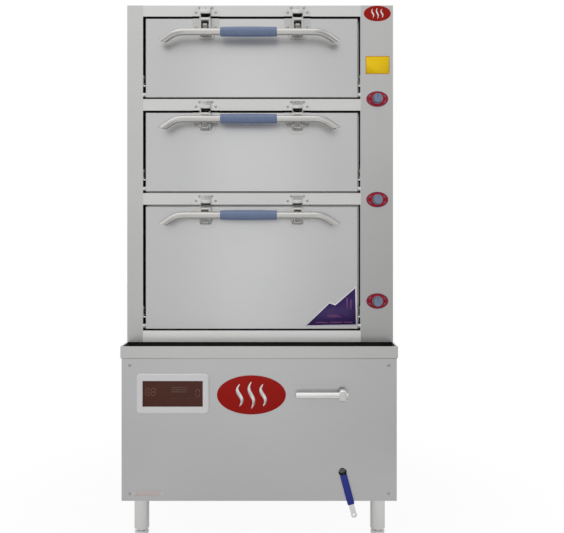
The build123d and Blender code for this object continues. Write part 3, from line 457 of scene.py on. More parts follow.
class Finishes:
    """The cabinet's finishes, each painted once."""

    RAIL = FrontSteel("rail_steel", 0.632, 0.36)
    # painted shade: the column is made darker towards its bottom
    COLUMN = Steel("column_steel", 0.45, 0.34, Grain.UPRIGHT, painted_height_shade=(0.9, 1.7, 0.14))
    # painted highlight: a bright upright band across the middle of each door
    DOOR = Steel("door_steel", 0.535, 0.33, Grain.ACROSS, 0.04, 0.06, warmth=-0.005, painted_highlight=0.12)
    SIDE = Steel("side_steel", 0.58, 0.36, Grain.UPRIGHT)
    TOP = Steel("top_steel", 0.58, 0.36, Grain.ACROSS)
    # painted shade: the base panels are made darker towards their bottom
    BASE = Steel("base_steel", 0.485, 0.36, Grain.ACROSS, 0.04, 0.04, painted_height_shade=(0.2, 0.5, 0.15), warmth=-0.005)
    APRON = Steel("apron_steel", 0.58, 0.36, Grain.ACROSS)
    INNER = Steel("chamber_steel", 0.50, 0.30, Grain.DEEP)
    FRAME = Steel("frame_steel", 0.45, 0.45, Grain.EVEN)
    BAR = Steel("bar_steel", 0.52, 0.19, Grain.ACROSS, 0.02, 0.03, 0.00001, warmth=0.05)
    BRIGHT = Steel("bright_steel", 0.72, 0.18, Grain.EVEN, 0.03, 0.03, 0.00002)
    KEEPER = Steel("keeper_steel", 0.60, 0.28, Grain.EVEN, 0.04, 0.04, 0.00008)
    LATCH = Steel("latch_steel", 0.50, 0.26, Grain.EVEN, 0.05, 0.05, 0.00010)
    LEVER = Steel("lever_steel", 0.46, 0.28, Grain.EVEN, 0.04, 0.04, 0.00006)
    LEG = Steel("leg_steel", 0.66, 0.20, Grain.EVEN, 0.04, 0.03)
    # painted shade: the drain lever's upper end, inside the dark hole in the panel, is made nearly black
    DRAIN = Steel("drain_steel", 0.74, 0.20, Grain.EVEN, 0.04, 0.03, painted_height_shade=(0.198, 0.216, -0.86))
    SCREW = Steel("screw_steel", 0.66, 0.24, Grain.EVEN, 0.05, 0.0, 0.00003)
    SUNK = Steel("sunk_screw_steel", 0.44, 0.30, Grain.EVEN, 0.05, 0.0, 0.00003)
    BRASS = Steel("brass", 0.60, 0.3, Grain.EVEN)
    GRIP = Moulding("grip_plastic", (0.098, 0.144, 0.262), 0.26, coat=0.6)
    KNOB = Moulding("knob_plastic", (0.132, 0.185, 0.275), 0.30, coat=0.5)
    BLACK = Moulding("black_plastic", (0.015, 0.015, 0.016), 0.5)
    # painted shade: a near-black matt for the blocks and strips that stand in for shade under the keepers' hoods
    # and below the latches' rollers
    SHADE_BLACK = Moulding("painted_shade_black", (0.006, 0.006, 0.006), 0.75)
    BEZEL = Moulding("bezel_plastic", (0.63, 0.63, 0.64), 0.38, 0.02)
    SEAL = Moulding("seal_silicone", (0.020, 0.020, 0.021), 0.6)
    WOOL = Wool("mineral_wool", (0.62, 0.58, 0.46))
    SLEEVE = Enamel("sleeve_blue", (0.022, 0.030, 0.230), (0.016, 0.022, 0.190), (0.09, 0.25), 0.45)
    COLUMN_BADGE = Enamel("badge_red", (0.310, 0.008, 0.005), (0.270, 0.006, 0.004), (0.4, 1.9), 0.4, 0.10)
    BASE_BADGE = Enamel("base_badge_red", (0.310, 0.008, 0.005), (0.280, 0.006, 0.004), (0.42, 0.57), 0.4, 0.10)
    LABEL = Enamel("label_yellow", (0.84, 0.56, 0.008), (0.80, 0.52, 0.006), (1.6, 1.7), 0.4, 0.1)
    LABEL_LINE = Enamel("label_line", (0.42, 0.17, 0.05), (0.40, 0.15, 0.05), (1.6, 1.7))
    PLATE = Enamel("plate_pink", (0.50, 0.44, 0.43), (0.46, 0.40, 0.39), (0.1, 0.2))
    DIAL = Enamel("dial_red", (0.420, 0.010, 0.022), (0.360, 0.008, 0.018), (0.7, 1.6), 0.36, 0.12)
    DIAL_RING = Enamel("dial_ring", (0.170, 0.030, 0.085), (0.150, 0.025, 0.075), (0.7, 1.6))
    DIAL_PETAL = Enamel("dial_mark", (0.19, 0.14, 0.17), (0.17, 0.12, 0.15), (0.7, 1.6))
    DIAL_SPOT = Enamel("dial_spot", (0.030, 0.012, 0.014), (0.026, 0.010, 0.012), (0.7, 1.6))
    FILM = Enamel("film_purple", (0.036, 0.014, 0.105), (0.032, 0.012, 0.095), (0.72, 0.86))
    FILM_EDGE = Enamel("film_white", (0.80, 0.80, 0.83), (0.76, 0.76, 0.80), (0.7, 0.9))
    FILM_MARKS = Enamel("film_marks", (0.22, 0.09, 0.25), (0.20, 0.06, 0.17), (0.72, 0.86))
    WINDOW = Enamel("window_pane", (0.072, 0.020, 0.012), (0.064, 0.017, 0.010), (0.45, 0.55), 0.22, 0.2)
    LIT_DIGITS = Glow("lit_amber", (0.090, 0.030, 0.018), 0.5)
    LIT_DOTS = Glow("lit_dim", (0.055, 0.020, 0.012), 0.4)

    def __init__(self) -> None:
        """Starts with nothing painted."""
        self._painted: dict[str, bpy.types.Material] = {}

    def of(self, finish: Finish) -> bpy.types.Material:
        """Finds the finish's material, which is made on its first use.

        Args:
            finish: the finish.

        Returns:
            The material.
        """
        if finish.name not in self._painted:
            self._painted[finish.name] = finish.paint()
        return self._painted[finish.name]

    def dress(self, nodes: dict[str, bpy.types.Object], finish: Finish, *names: str) -> None:
        """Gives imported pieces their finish.

        Args:
            nodes: the frame's pieces by name.
            finish: what they are finished in.
            names: which ones.
        """
        for name in names:
            nodes[name].data.materials.clear()
            nodes[name].data.materials.append(self.of(finish))
            log.info("%s is finished in %s", name, finish.name)


# ---- meshes -------------------------------------------------------------------------------------------
class Facing(Enum):
    """Which way a fitting's own Z axis points, as a turn about the world's Z after it is laid over."""

    FRONT = 0.0
    RIGHT = 90.0
    BACK = 180.0
    LEFT = 270.0


def seat(x: float, y: float, z: float, facing: Facing = Facing.FRONT) -> Matrix:
    """The placement of a fitting on an upright face, whose Z points out of the face and Y points up."""
    turn = Matrix.Rotation(math.radians(facing.value), 4, "Z") @ Matrix.Rotation(math.radians(90.0), 4, "X")
    return Matrix.Translation((x, y, z)) @ turn


def around(sides: int) -> list[float]:
    """The angles of equal steps round a circle."""
    return [2 * math.pi * n / sides for n in range(sides)]


class Shape:
    """Points and faces gathered for one piece."""

    WELD = 0.000002
    BEVEL_FROM = math.radians(35.0)
    SHARP_FROM = math.radians(38.0)

    def __init__(self) -> None:
        """Starts empty."""
        self.points: list[Vector] = []
        self.faces: list[tuple[int, ...]] = []

    def rings(self, rings: Sequence[Sequence[Vector]], at: Matrix, close: bool = False) -> None:
        """Joins closed rings of equal length with four-sided faces.

        Args:
            rings: the rings in order, each a list of points.
            at: where the shape is placed.
            close: whether the last ring joins the first.
        """
        start, count = len(self.points), len(rings[0])
        for ring in rings:
            self.points += [at @ Vector(point) for point in ring]
        last = len(rings) if close else len(rings) - 1
        for row in range(last):
            low, high = start + row * count, start + (row + 1) % len(rings) * count
            for n in range(count):
                after = (n + 1) % count
                self.faces.append((low + n, low + after, high + after, high + n))

    def cap(self, ring: Sequence[Vector], at: Matrix, flip: bool = False) -> None:
        """Closes an outline with one flat face.

        Args:
            ring: the outline.
            at: where the shape is placed.
            flip: whether the face looks down its own axis.
        """
        start = len(self.points)
        self.points += [at @ Vector(point) for point in ring]
        order = range(start, start + len(ring))
        self.faces.append(tuple(reversed(order)) if flip else tuple(order))

    def turned(self, profile: Sequence[Point], at: Matrix, sides: int = 32, stretch: float = 1.0) -> None:
        """Turns a profile of (radius, height) pairs, from its edge inwards, stretched along Y into an oval."""
        self.rings([[Vector((r * math.cos(a), r * stretch * math.sin(a), h)) for a in around(sides)]
                    for r, h in profile], at)

    def prism(self, outline: Sequence[Point], low: float, high: float, at: Matrix) -> None:
        """Raises a flat outline between two heights.

        Args:
            outline: the outline, anticlockwise.
            low: the height of its underside.
            high: the height of its top.
            at: where the shape is placed.
        """
        rings = [[Vector((x, y, h)) for x, y in outline] for h in (low, high)]
        self.rings(rings, at)
        self.cap(rings[0], at, flip=True)
        self.cap(rings[1], at)

    def border(self, outer: Sequence[Point], inner: Sequence[Point], low: float, high: float, at: Matrix) -> None:
        """Raises the band between an outer and an inner outline, which have as many points each."""
        loops = ((outer, low), (outer, high), (inner, high), (inner, low))
        self.rings([[Vector((x, y, h)) for x, y in loop] for loop, h in loops], at, close=True)

    def ribbon(self, path: Sequence[Point], widths: Sequence[float], low: float, high: float, at: Matrix) -> None:
        """Raises a band of changing width along a path.

        Args:
            path: the band's middle line.
            widths: its width at each point.
            low: the height of its underside.
            high: the height of its top.
            at: where the shape is placed.
        """
        left, right = [], []
        for n, (x, y) in enumerate(path):
            before, after = path[max(n - 1, 0)], path[min(n + 1, len(path) - 1)]
            run = Vector((after[0] - before[0], after[1] - before[1])).normalized()
            half = widths[n] / 2
            left.append((x - run.y * half, y + run.x * half))
            right.append((x + run.y * half, y - run.x * half))
        self.prism(list(reversed(left)) + right, low, high, at)

    def build(self, name: str, material: bpy.types.Material, body: str, bevel: float = 0.0) -> None:
        """Makes the piece and lets it ride on a body.

        Args:
            name: the piece's name.
            material: its finish.
            body: the body that carries it.
            bevel: the width of its rounded edges, or 0.
        """
        mesh = bpy.data.meshes.new(name)
        mesh.from_pydata(self.points, [], self.faces)
        piece = bpy.data.objects.new(name, mesh)
        bpy.context.scene.collection.objects.link(piece)
        weld = piece.modifiers.new("joined", "WELD")
        weld.merge_threshold = self.WELD
        if bevel:
            edges = piece.modifiers.new("rounded", "BEVEL")
            edges.width = bevel
            edges.segments = 2
            edges.limit_method = "ANGLE"
            edges.angle_limit = self.BEVEL_FROM
        mesh.materials.append(material)
        mesh.update()
        mesh.validate()
        mesh.shade_smooth()
        mesh.set_sharp_from_angle(angle=self.SHARP_FROM)
        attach(piece, body)
        log.info("%s rides on %s with %d faces", name, body, len(self.faces))


def oval(width: float, height: float, sides: int = 64) -> list[Point]:
    """The outline of an ellipse."""
    return [(width / 2 * math.cos(a), height / 2 * math.sin(a)) for a in around(sides)]


def upright(half: float, rise: Point) -> list[Point]:
    """The outline of a plate centred across and standing between two heights."""
    low, high = rise
    return [(-half, low), (half, low), (half, high), (-half, high)]


def rounded(width: float, height: float, radius: float, sides: int = 5) -> list[Point]:
    """The outline of a rectangle with round corners.

    Args:
        width: its full width.
        height: its full height.
        radius: the corners' radius.
        sides: the number of steps in each corner.

    Returns:
        The outline, anticlockwise.
    """
    outline = []
    for quarter, (sx, sy) in enumerate(((1, 1), (-1, 1), (-1, -1), (1, -1))):
        for step in range(sides + 1):
            turn = math.radians(90.0 * (quarter + step / sides))
            outline.append((sx * (width / 2 - radius) + radius * math.cos(turn),
                            sy * (height / 2 - radius) + radius * math.sin(turn)))
    return outline


# ---- fasteners ----------------------------------------------------------------------------------------
@dataclass(frozen=True)
class CrossHead:
    """A pan-head screw with a cross recess, whose rings and recess are shares of its radius and height."""

    radius: float
    height: float
    sides: int = 32
    ring_radii: tuple[float, ...] = (1.0, 1.0, 0.93, 0.8, 0.66, 0.62, 0.5, 0.38, 0.26, 0.17, 0.08)
    ring_heights: tuple[float, ...] = (0.0, 0.45, 0.72, 0.9, 0.97, 0.98, 0.99, 1.0, 1.0, 1.0, 1.0)
    slot_reach: float = 0.62
    slot_shade_half: float = 0.17
    slot_depth: float = 0.55
    slot_taper: float = 0.4

    def add_to(self, shape: Shape, at: Matrix) -> None:
        """Adds one head to a shape.

        Args:
            shape: the piece that gathers the heads.
            at: the head's seat.
        """
        rings = []
        for r, h in zip(self.ring_radii, self.ring_heights):
            ring = []
            for turn in around(self.sides):
                x, y = r * math.cos(turn), r * math.sin(turn)
                in_slot = r < self.slot_reach and min(abs(x), abs(y)) < self.slot_shade_half
                depth = self.slot_depth * (1.0 - self.slot_taper * r / self.slot_reach)
                level = h - depth if in_slot else h
                ring.append(Vector((x * self.radius, y * self.radius, level * self.height)))
            rings.append(ring)
        shape.rings(rings, at)
        shape.cap(rings[-1], at)


@dataclass(frozen=True)
class Dome:
    """A plain domed rivet head."""

    radius: float
    height: float
    sunk: float = 0.0002
    point: float = 0.0001

    def add_to(self, shape: Shape, at: Matrix) -> None:
        """Adds one head to a shape.

        Args:
            shape: the piece that gathers the heads.
            at: the head's seat.
        """
        steps = [math.radians(15.0 * n) for n in range(7)]
        profile = [(self.radius * math.cos(a), self.height * math.sin(a)) for a in steps[:-1]]
        profile = [(self.radius, -self.sunk)] + profile + [(self.point, self.height)]
        shape.turned(profile, at, 20)


Head = Union[CrossHead, Dome]


def fasten(name: str, head: Head, seats: Iterable[Matrix], material: bpy.types.Material, body: str) -> None:
    """Makes one piece of many equal fasteners, each turned at random as a fitter leaves it.

    Args:
        name: the piece's name.
        head: the kind of head.
        seats: where each one sits.
        material: their finish.
        body: the body that carries them.
    """
    turns = random.Random(name)
    shape = Shape()
    for at in seats:
        head.add_to(shape, at @ Matrix.Rotation(turns.uniform(0.0, math.pi), 4, "Z"))
    shape.build(name, material, body)


# ---- sub-assemblies -----------------------------------------------------------------------------------
@dataclass
class Dressed:
    """What every sub-assembly needs: the frame's pieces and the finishes."""

    nodes: dict[str, bpy.types.Object]
    finishes: Finishes

    def low(self, node: str) -> Vector:
        """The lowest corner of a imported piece."""
        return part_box(node)[0]

    def high(self, node: str) -> Vector:
        """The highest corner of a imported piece."""
        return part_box(node)[1]

    def dress(self, finish: Finish, *names: str) -> None:
        """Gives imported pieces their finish."""
        self.finishes.dress(self.nodes, finish, *names)


@dataclass
class Casing(Dressed):
    """The cabinet's sheets and chambers, and everything behind them."""

    screw_inset: float = 0.014
    screw_pitch: float = 0.24
    screw: CrossHead = CrossHead(0.0042, 0.0022)

    def make(self) -> None:
        """Dresses the sheets and all that they hide, and fastens the back."""
        self.dress(Finishes.SIDE, "casing_sides", "casing_back", "exhaust_duct")
        self.dress(Finishes.TOP, "casing_top")
        self.dress(Finishes.RAIL, "front_frame")
        self.dress(Finishes.COLUMN, "column_cover")
        self.dress(Finishes.INNER, "chamber_liners", "steam_shelves", *(f"door_{door}_back" for door in DOORS))
        self.dress(Finishes.SEAL, "door_gaskets")
        self.dress(Finishes.WOOL, "insulation")
        self.dress(Finishes.FRAME, "base_frame", "water_tank", "steam_manifold", "drain_pipe", "water_inlet")
        self.dress(Finishes.BRASS, "steam_valves", "drain_valve_body")
        self.dress(Finishes.BLACK, "induction_unit", "fan_rotor", "gear_switch", "cable_gland")
        self._fasten_back()

    def _fasten_back(self) -> None:
        """Screws round the edge of the back sheet."""
        low, high = self.low("casing_back"), self.high("casing_back")
        left, right = low.x + self.screw_inset, high.x - self.screw_inset
        bottom, top = low.z + self.screw_inset, high.z - self.screw_inset
        rows = round((top - bottom) / self.screw_pitch)
        columns = round((right - left) / self.screw_pitch)
        seats = [(x, bottom + (top - bottom) * n / rows) for n in range(rows + 1) for x in (left, right)]
        seats += [(left + (right - left) * n / columns, z) for n in range(1, columns) for z in (bottom, top)]
        fasten("back_screws", self.screw, [seat(x, high.y, z, Facing.BACK) for x, z in seats],
               self.finishes.of(Finishes.SCREW), CABINET)


@dataclass
class Latches(Dressed):
    """The keepers, latch bases and levers, with their screws and lips, and black blocks and strips of painted
    shade under the hoods and below the rollers.
    """

    screw: CrossHead = CrossHead(0.0048, 0.0016)
    bolt: Dome = Dome(0.0040, 0.0026)
    keeper_circle: float = 0.0375
    keeper_turns: tuple[float, ...] = (21.0, 53.0, 127.0, 159.0)
    base_screws: tuple[Point, ...] = ((-0.035, -0.031), (0.035, -0.031))
    plate_thick: float = 0.002
    spacing: float = 0.326
    middle: float = -0.030
    rail_lift: float = 0.008
    # painted shade under each keeper's hood: a black block's half width, its rise and its depth out from the
    # plate
    shade_block_half: float = 0.0158
    shade_block_rise: Point = (0.0004, 0.0120)
    shade_block_depth: float = 0.0238
    lip_half: float = 0.018
    lip_rise: Point = (0.0035, 0.0160)
    lip_thick: float = 0.0010
    # painted shade below each latch's roller: a black strip's half width, its rise and how far out it stands
    slot_shade_half: float = 0.0135
    slot_shade_rise: Point = (-0.0250, -0.0175)
    slot_shade_out: Point = (0.0285, 0.0305)
    bolt_rise: float = 0.0245
    bolt_out: float = 0.0150

    def make(self) -> None:
        """Dresses the latches, screws them down and adds the lips, the bolts and the black blocks and strips of
        painted shade.
        """
        self.dress(Finishes.KEEPER, "keeper_plates")
        sunk, shade_black = self.finishes.of(Finishes.SUNK), self.finishes.of(Finishes.SHADE_BLACK)
        screws, bolts, shade_blocks, lips = [], [], Shape(), Shape()
        for door in DOORS:
            self._dress_latches(door, sunk, shade_black)
            for x in self.places():
                face, foot = self.face(door), self.top(door) + self.rail_lift
                at, front = seat(x, face, foot), self.shade_block_depth
                # painted shade: a black block fills the hood's mouth, where shade falls
                shade_blocks.prism(upright(self.shade_block_half, self.shade_block_rise), 0.0, front, at)
                lips.prism(upright(self.lip_half, self.lip_rise), front, front + self.lip_thick, at)
                bolts.append(seat(x, face - self.bolt_out, foot + self.bolt_rise))
                for turn in (math.radians(degrees) for degrees in self.keeper_turns):
                    across, up = self.keeper_circle * math.cos(turn), self.keeper_circle * math.sin(turn)
                    screws.append(seat(x + across, face, foot + up))
        fasten("keeper_screws", self.screw, screws, sunk, CABINET)
        fasten("keeper_bolts", self.bolt, bolts, sunk, CABINET)
        shade_blocks.build("keeper_shade_blocks", shade_black, CABINET, 0.0004)
        lips.build("keeper_lips", self.finishes.of(Finishes.KEEPER), CABINET, 0.0003)

    def _dress_latches(self, door: int, sunk: bpy.types.Material, shade_black: bpy.types.Material) -> None:
        """Dresses one door's latches and levers, with the screws of each latch and a black strip of painted shade
        below its roller.

        Args:
            door: the door's number.
            sunk: the screws' finish.
            shade_black: the near-black finish of the painted shade.
        """
        self.dress(Finishes.LATCH, f"door_{door}_latches")
        self.dress(Finishes.LEVER, f"handle_{door}_levers")
        face, top = self.face(door), self.top(door)
        seats = [seat(x + dx, face, top + dz) for x in self.places() for dx, dz in self.base_screws]
        fasten(f"door_{door}_latch_screws", self.screw, seats, sunk, f"door_{door}")
        slot_shades = Shape()
        for x in self.places():
            # painted shade: a black strip stands in the latch's recess below the roller
            slot_shades.prism(upright(self.slot_shade_half, self.slot_shade_rise), *self.slot_shade_out, seat(x, face, top))
        slot_shades.build(f"door_{door}_latch_slot_shades", shade_black, f"door_{door}", 0.0003)

    def top(self, door: int) -> float:
        """The height of a door's upper edge."""
        return self.high(f"door_{door}_back").z

    def face(self, door: int) -> float:
        """Where the front of the plates on a door's sheet stands along Y."""
        return self.low(f"door_{door}_skin").y - self.plate_thick

    def places(self) -> tuple[float, float]:
        """Where the two latches of a door stand along X."""
        return self.middle - self.spacing / 2, self.middle + self.spacing / 2


@dataclass
class Doors(Dressed):
    """The doors' sheets, the brackets in their side gaps and the lower door's corner film."""

    bracket_size: Point = (0.010, 0.040)
    bracket_corner: float = 0.003
    bracket_thick: float = 0.0015
    bracket_depth: float = 0.010
    bracket_screws: Point = (0.0495, 0.0730)
    screw: Dome = Dome(0.0042, 0.0026)
    gap: float = 0.010
    film_corner: Point = (0.1815, 0.0125)
    edge_out: Point = (0.0, 0.00015)
    film_out: Point = (0.0001, 0.0003)
    marks_out: Point = (0.0002, 0.0004)
    film_outline: tuple[Point, ...] = (
        (0.0, 0.0), (0.1755, 0.0030), (0.1730, 0.1325), (0.1018, 0.0705), (0.0818, 0.0787))
    film_edge: tuple[Point, ...] = (
        (-0.0085, -0.0035), (0.1790, -0.0005), (0.1765, 0.1400), (0.1012, 0.0752), (0.0820, 0.0830))
    film_marks: tuple[tuple[float, float, float, float], ...] = (
        (0.032, 0.0085, 0.042, 0.0030), (0.082, 0.0090, 0.046, 0.0030), (0.134, 0.0095, 0.030, 0.0030),
        (0.074, 0.0290, 0.050, 0.0028), (0.074, 0.0350, 0.040, 0.0028),
        (0.142, 0.0560, 0.0035, 0.0420), (0.156, 0.0560, 0.0035, 0.0360))

    def make(self) -> None:
        """Dresses the doors and adds their small parts."""
        for door in DOORS:
            self.dress(Finishes.DOOR, f"door_{door}_skin")
        self.dress(Finishes.BRIGHT, "hinge_pins")
        self._brackets()
        self._film()

    def _brackets(self) -> None:
        """A small leaf with two domed screws on each jamb beside a door's foot."""
        leaves, heads = Shape(), []
        for door in DOORS:
            low, high = self.low(f"door_{door}_back"), self.high(f"door_{door}_back")
            y = self.low(f"door_{door}_skin").y + self.bracket_depth
            middle = low.z + sum(self.bracket_screws) / 2
            for x, facing in ((low.x - self.gap, Facing.RIGHT), (high.x + self.gap, Facing.LEFT)):
                at = seat(x, y, middle, facing)
                leaves.prism(rounded(*self.bracket_size, self.bracket_corner), -0.0002, self.bracket_thick, at)
                heads += [seat(x, y, low.z + dz, facing) @ Matrix.Translation((0, 0, self.bracket_thick))
                          for dz in self.bracket_screws]
        leaves.build("jamb_brackets", self.finishes.of(Finishes.SUNK), CABINET, 0.0003)
        fasten("jamb_bracket_screws", self.screw, heads, self.finishes.of(Finishes.SCREW), CABINET)

    def _film(self) -> None:
        """A purple film on the lower door's corner, with a notched slope, a white edge and plain marks."""
        edge_x, edge_z = self.high("door_3_back").x, self.low("door_3_back").z
        at = seat(edge_x - self.film_corner[0], self.low("door_3_skin").y, edge_z + self.film_corner[1])
        edge, film, bars = Shape(), Shape(), Shape()
        edge.prism(self.film_edge, *self.edge_out, at)
        edge.build("corner_film_edge", self.finishes.of(Finishes.FILM_EDGE), "door_3")
        film.prism(self.film_outline, *self.film_out, at)
        film.build("corner_film", self.finishes.of(Finishes.FILM), "door_3")
        for x, y, width, height in self.film_marks:
            mark = [(x, y), (x + width, y), (x + width, y + height), (x, y + height)]
            bars.prism(mark, *self.marks_out, at)
        bars.build("corner_film_marks", self.finishes.of(Finishes.FILM_MARKS), "door_3")


@dataclass
class Handles(Dressed):
    """The bars and their grips."""

    def make(self) -> None:
        """Dresses the bars and grips."""
        for door in DOORS:
            self.dress(Finishes.BAR, f"handle_{door}_bar")
            self.dress(Finishes.GRIP, f"handle_{door}_grip")


@dataclass(frozen=True)
class Badge:
    """An oval badge: a domed plate with three plain curls of steam, whose sizes are shares of the plate's."""

    width: float
    height: float
    dome: float
    ring_radii: tuple[float, ...] = (1.0, 1.0, 0.97, 0.9, 0.78, 0.62, 0.44, 0.24, 0.002)
    ring_heights: tuple[float, ...] = (0.0, 0.55, 0.72, 0.82, 0.9, 0.95, 0.98, 1.0, 1.0)
    curl_steps: int = 12
    curl_pitch: float = 0.17
    curl_sway: float = 0.035
    curl_width: float = 0.042
    outer_length: float = 0.56
    middle_length: float = 0.68
    curl_rise: Point = (0.6, 1.12)

    def make(self, name: str, at: Matrix, face: bpy.types.Material, metal: bpy.types.Material, body: str) -> None:
        """Builds the badge's plate and curls.

        Args:
            name: the start of its pieces' names.
            at: its seat.
            face: the plate's finish.
            metal: the curls' finish.
            body: the body that carries it.
        """
        plate, curls = Shape(), Shape()
        profile = [(self.width / 2 * r, self.dome * h) for r, h in zip(self.ring_radii, self.ring_heights)]
        plate.turned(profile, at, 64, self.height / self.width)
        plate.build(f"{name}_plate", face, body)
        for n in (-1, 0, 1):
            length = self.outer_length if n else self.middle_length
            path, widths = [], []
            for step in range(self.curl_steps + 1):
                t = step / self.curl_steps
                path.append((self.width * (n * self.curl_pitch + self.curl_sway * math.sin(2 * math.pi * t)),
                             self.height * (t - 0.5) * length))
                widths.append(self.width * self.curl_width * (0.25 + math.sin(math.pi * t)))
            low, high = self.curl_rise
            curls.ribbon(path, widths, self.dome * low, self.dome * high, at)
        curls.build(f"{name}_steam", metal, body, self.dome * 0.06)


@dataclass
class ControlColumn(Dressed):
    """The right-hand column's badge, blank label, dial plates and knobs."""

    badge: Badge = Badge(0.096, 0.055, 0.0022)
    badge_height: float = 1.8315
    label_size: Point = (0.085, 0.064)
    label_height: float = 1.648
    label_corner: float = 0.002
    label_thick: float = 0.0004
    label_shift: float = 0.001
    line_edges: tuple[Point, Point] = ((0.0005, 0.002), (0.004, 0.0015))
    line_thick: float = 0.0001
    middle: float = 0.417
    ring_outer: Point = (0.0772, 0.0542)
    ring_inner: Point = (0.0706, 0.0486)
    spot_size: Point = (0.0045, 0.0050)
    spot_out: float = 0.0262
    petal_start: Point = (0.0215, 0.0135)
    petal_run: Point = (0.0080, -0.0065)
    petal_width: Point = (0.0008, 0.0040)
    petal_steps: int = 6
    print_thick: float = 0.0002
    pointer_half: float = 0.0011
    pointer_rise: Point = (0.0032, 0.0145)
    pointer_out: Point = (-0.0014, -0.0003)

    def make(self) -> None:
        """Dresses the column's fittings."""
        face = self.low("column_cover").y
        self.badge.make("column_badge", seat(self.middle, face, self.badge_height),
                        self.finishes.of(Finishes.COLUMN_BADGE), self.finishes.of(Finishes.BRIGHT), CABINET)
        self._label(face)
        self.dress(Finishes.DIAL, "dial_plates")
        self._dial_marks()
        self._knob_pointers()

    def _label(self, face: float) -> None:
        """A blank yellow plate with a thin dark border line.

        Args:
            face: where the column's front stands along Y.
        """
        at = seat(self.middle + self.label_shift, face, self.label_height)
        width, height = self.label_size
        plate, border = Shape(), Shape()
        plate.prism(rounded(width, height, self.label_corner), 0.0, self.label_thick, at)
        plate.build("blank_label", self.finishes.of(Finishes.LABEL), CABINET)
        outer, inner = (rounded(width - less, height - less, radius) for less, radius in self.line_edges)
        border.border(outer, inner, self.label_thick, self.label_thick + self.line_thick, at)
        border.build("blank_label_border", self.finishes.of(Finishes.LABEL_LINE), CABINET)

    def _dial_marks(self) -> None:
        """A purple ring round each dial plate, four petals round its knob and a dark spot either side."""
        rings, petals, spots = Shape(), Shape(), Shape()
        for knob in DOORS:
            low, high = self.low(f"steam_knob_{knob}"), self.high(f"steam_knob_{knob}")
            at = seat((low.x + high.x) / 2, self.low("dial_plates").y, (low.z + high.z) / 2)
            rings.border(oval(*self.ring_outer), oval(*self.ring_inner), -0.0001, self.print_thick, at)
            for side in (-1, 1):
                spot = [(side * self.spot_out + x, y) for x, y in oval(*self.spot_size, 16)]
                spots.prism(spot, 0.0, self.print_thick, at)
                for lift in (-1, 1):
                    path, widths = self._petal(side, lift)
                    petals.ribbon(path, widths, 0.0, self.print_thick, at)
        rings.build("dial_rings", self.finishes.of(Finishes.DIAL_RING), CABINET)
        petals.build("dial_petals", self.finishes.of(Finishes.DIAL_PETAL), CABINET)
        spots.build("dial_spots", self.finishes.of(Finishes.DIAL_SPOT), CABINET)

    def _petal(self, side: int, lift: int) -> tuple[list[Point], list[float]]:
        """Works out one petal, which slopes beside a knob and is widest past its middle.

        Args:
            side: -1 for the left and 1 for the right.
            lift: -1 for below and 1 for above.

        Returns:
            The petal's middle line, and its width at each point of it.
        """
        path, widths = [], []
        for step in range(self.petal_steps + 1):
            t = step / self.petal_steps
            path.append((side * (self.petal_start[0] + self.petal_run[0] * t),
                         lift * (self.petal_start[1] + self.petal_run[1] * t)))
            widths.append(self.petal_width[0] + self.petal_width[1] * math.sin(math.pi * (0.12 + 0.80 * t)))
        return path, widths

    def _knob_pointers(self) -> None:
        """Dresses the knobs and fills the pointer groove of each."""
        for knob in DOORS:
            name = f"steam_knob_{knob}"
            self.dress(Finishes.KNOB, name)
            low, high = self.low(name), self.high(name)
            x, z = (low.x + high.x) / 2, (low.z + high.z) / 2
            pointer = Shape()
            pointer.prism(upright(self.pointer_half, self.pointer_rise), *self.pointer_out, seat(x, low.y, z))
            pointer.build(f"{name}_line", self.finishes.of(Finishes.GRIP), name)


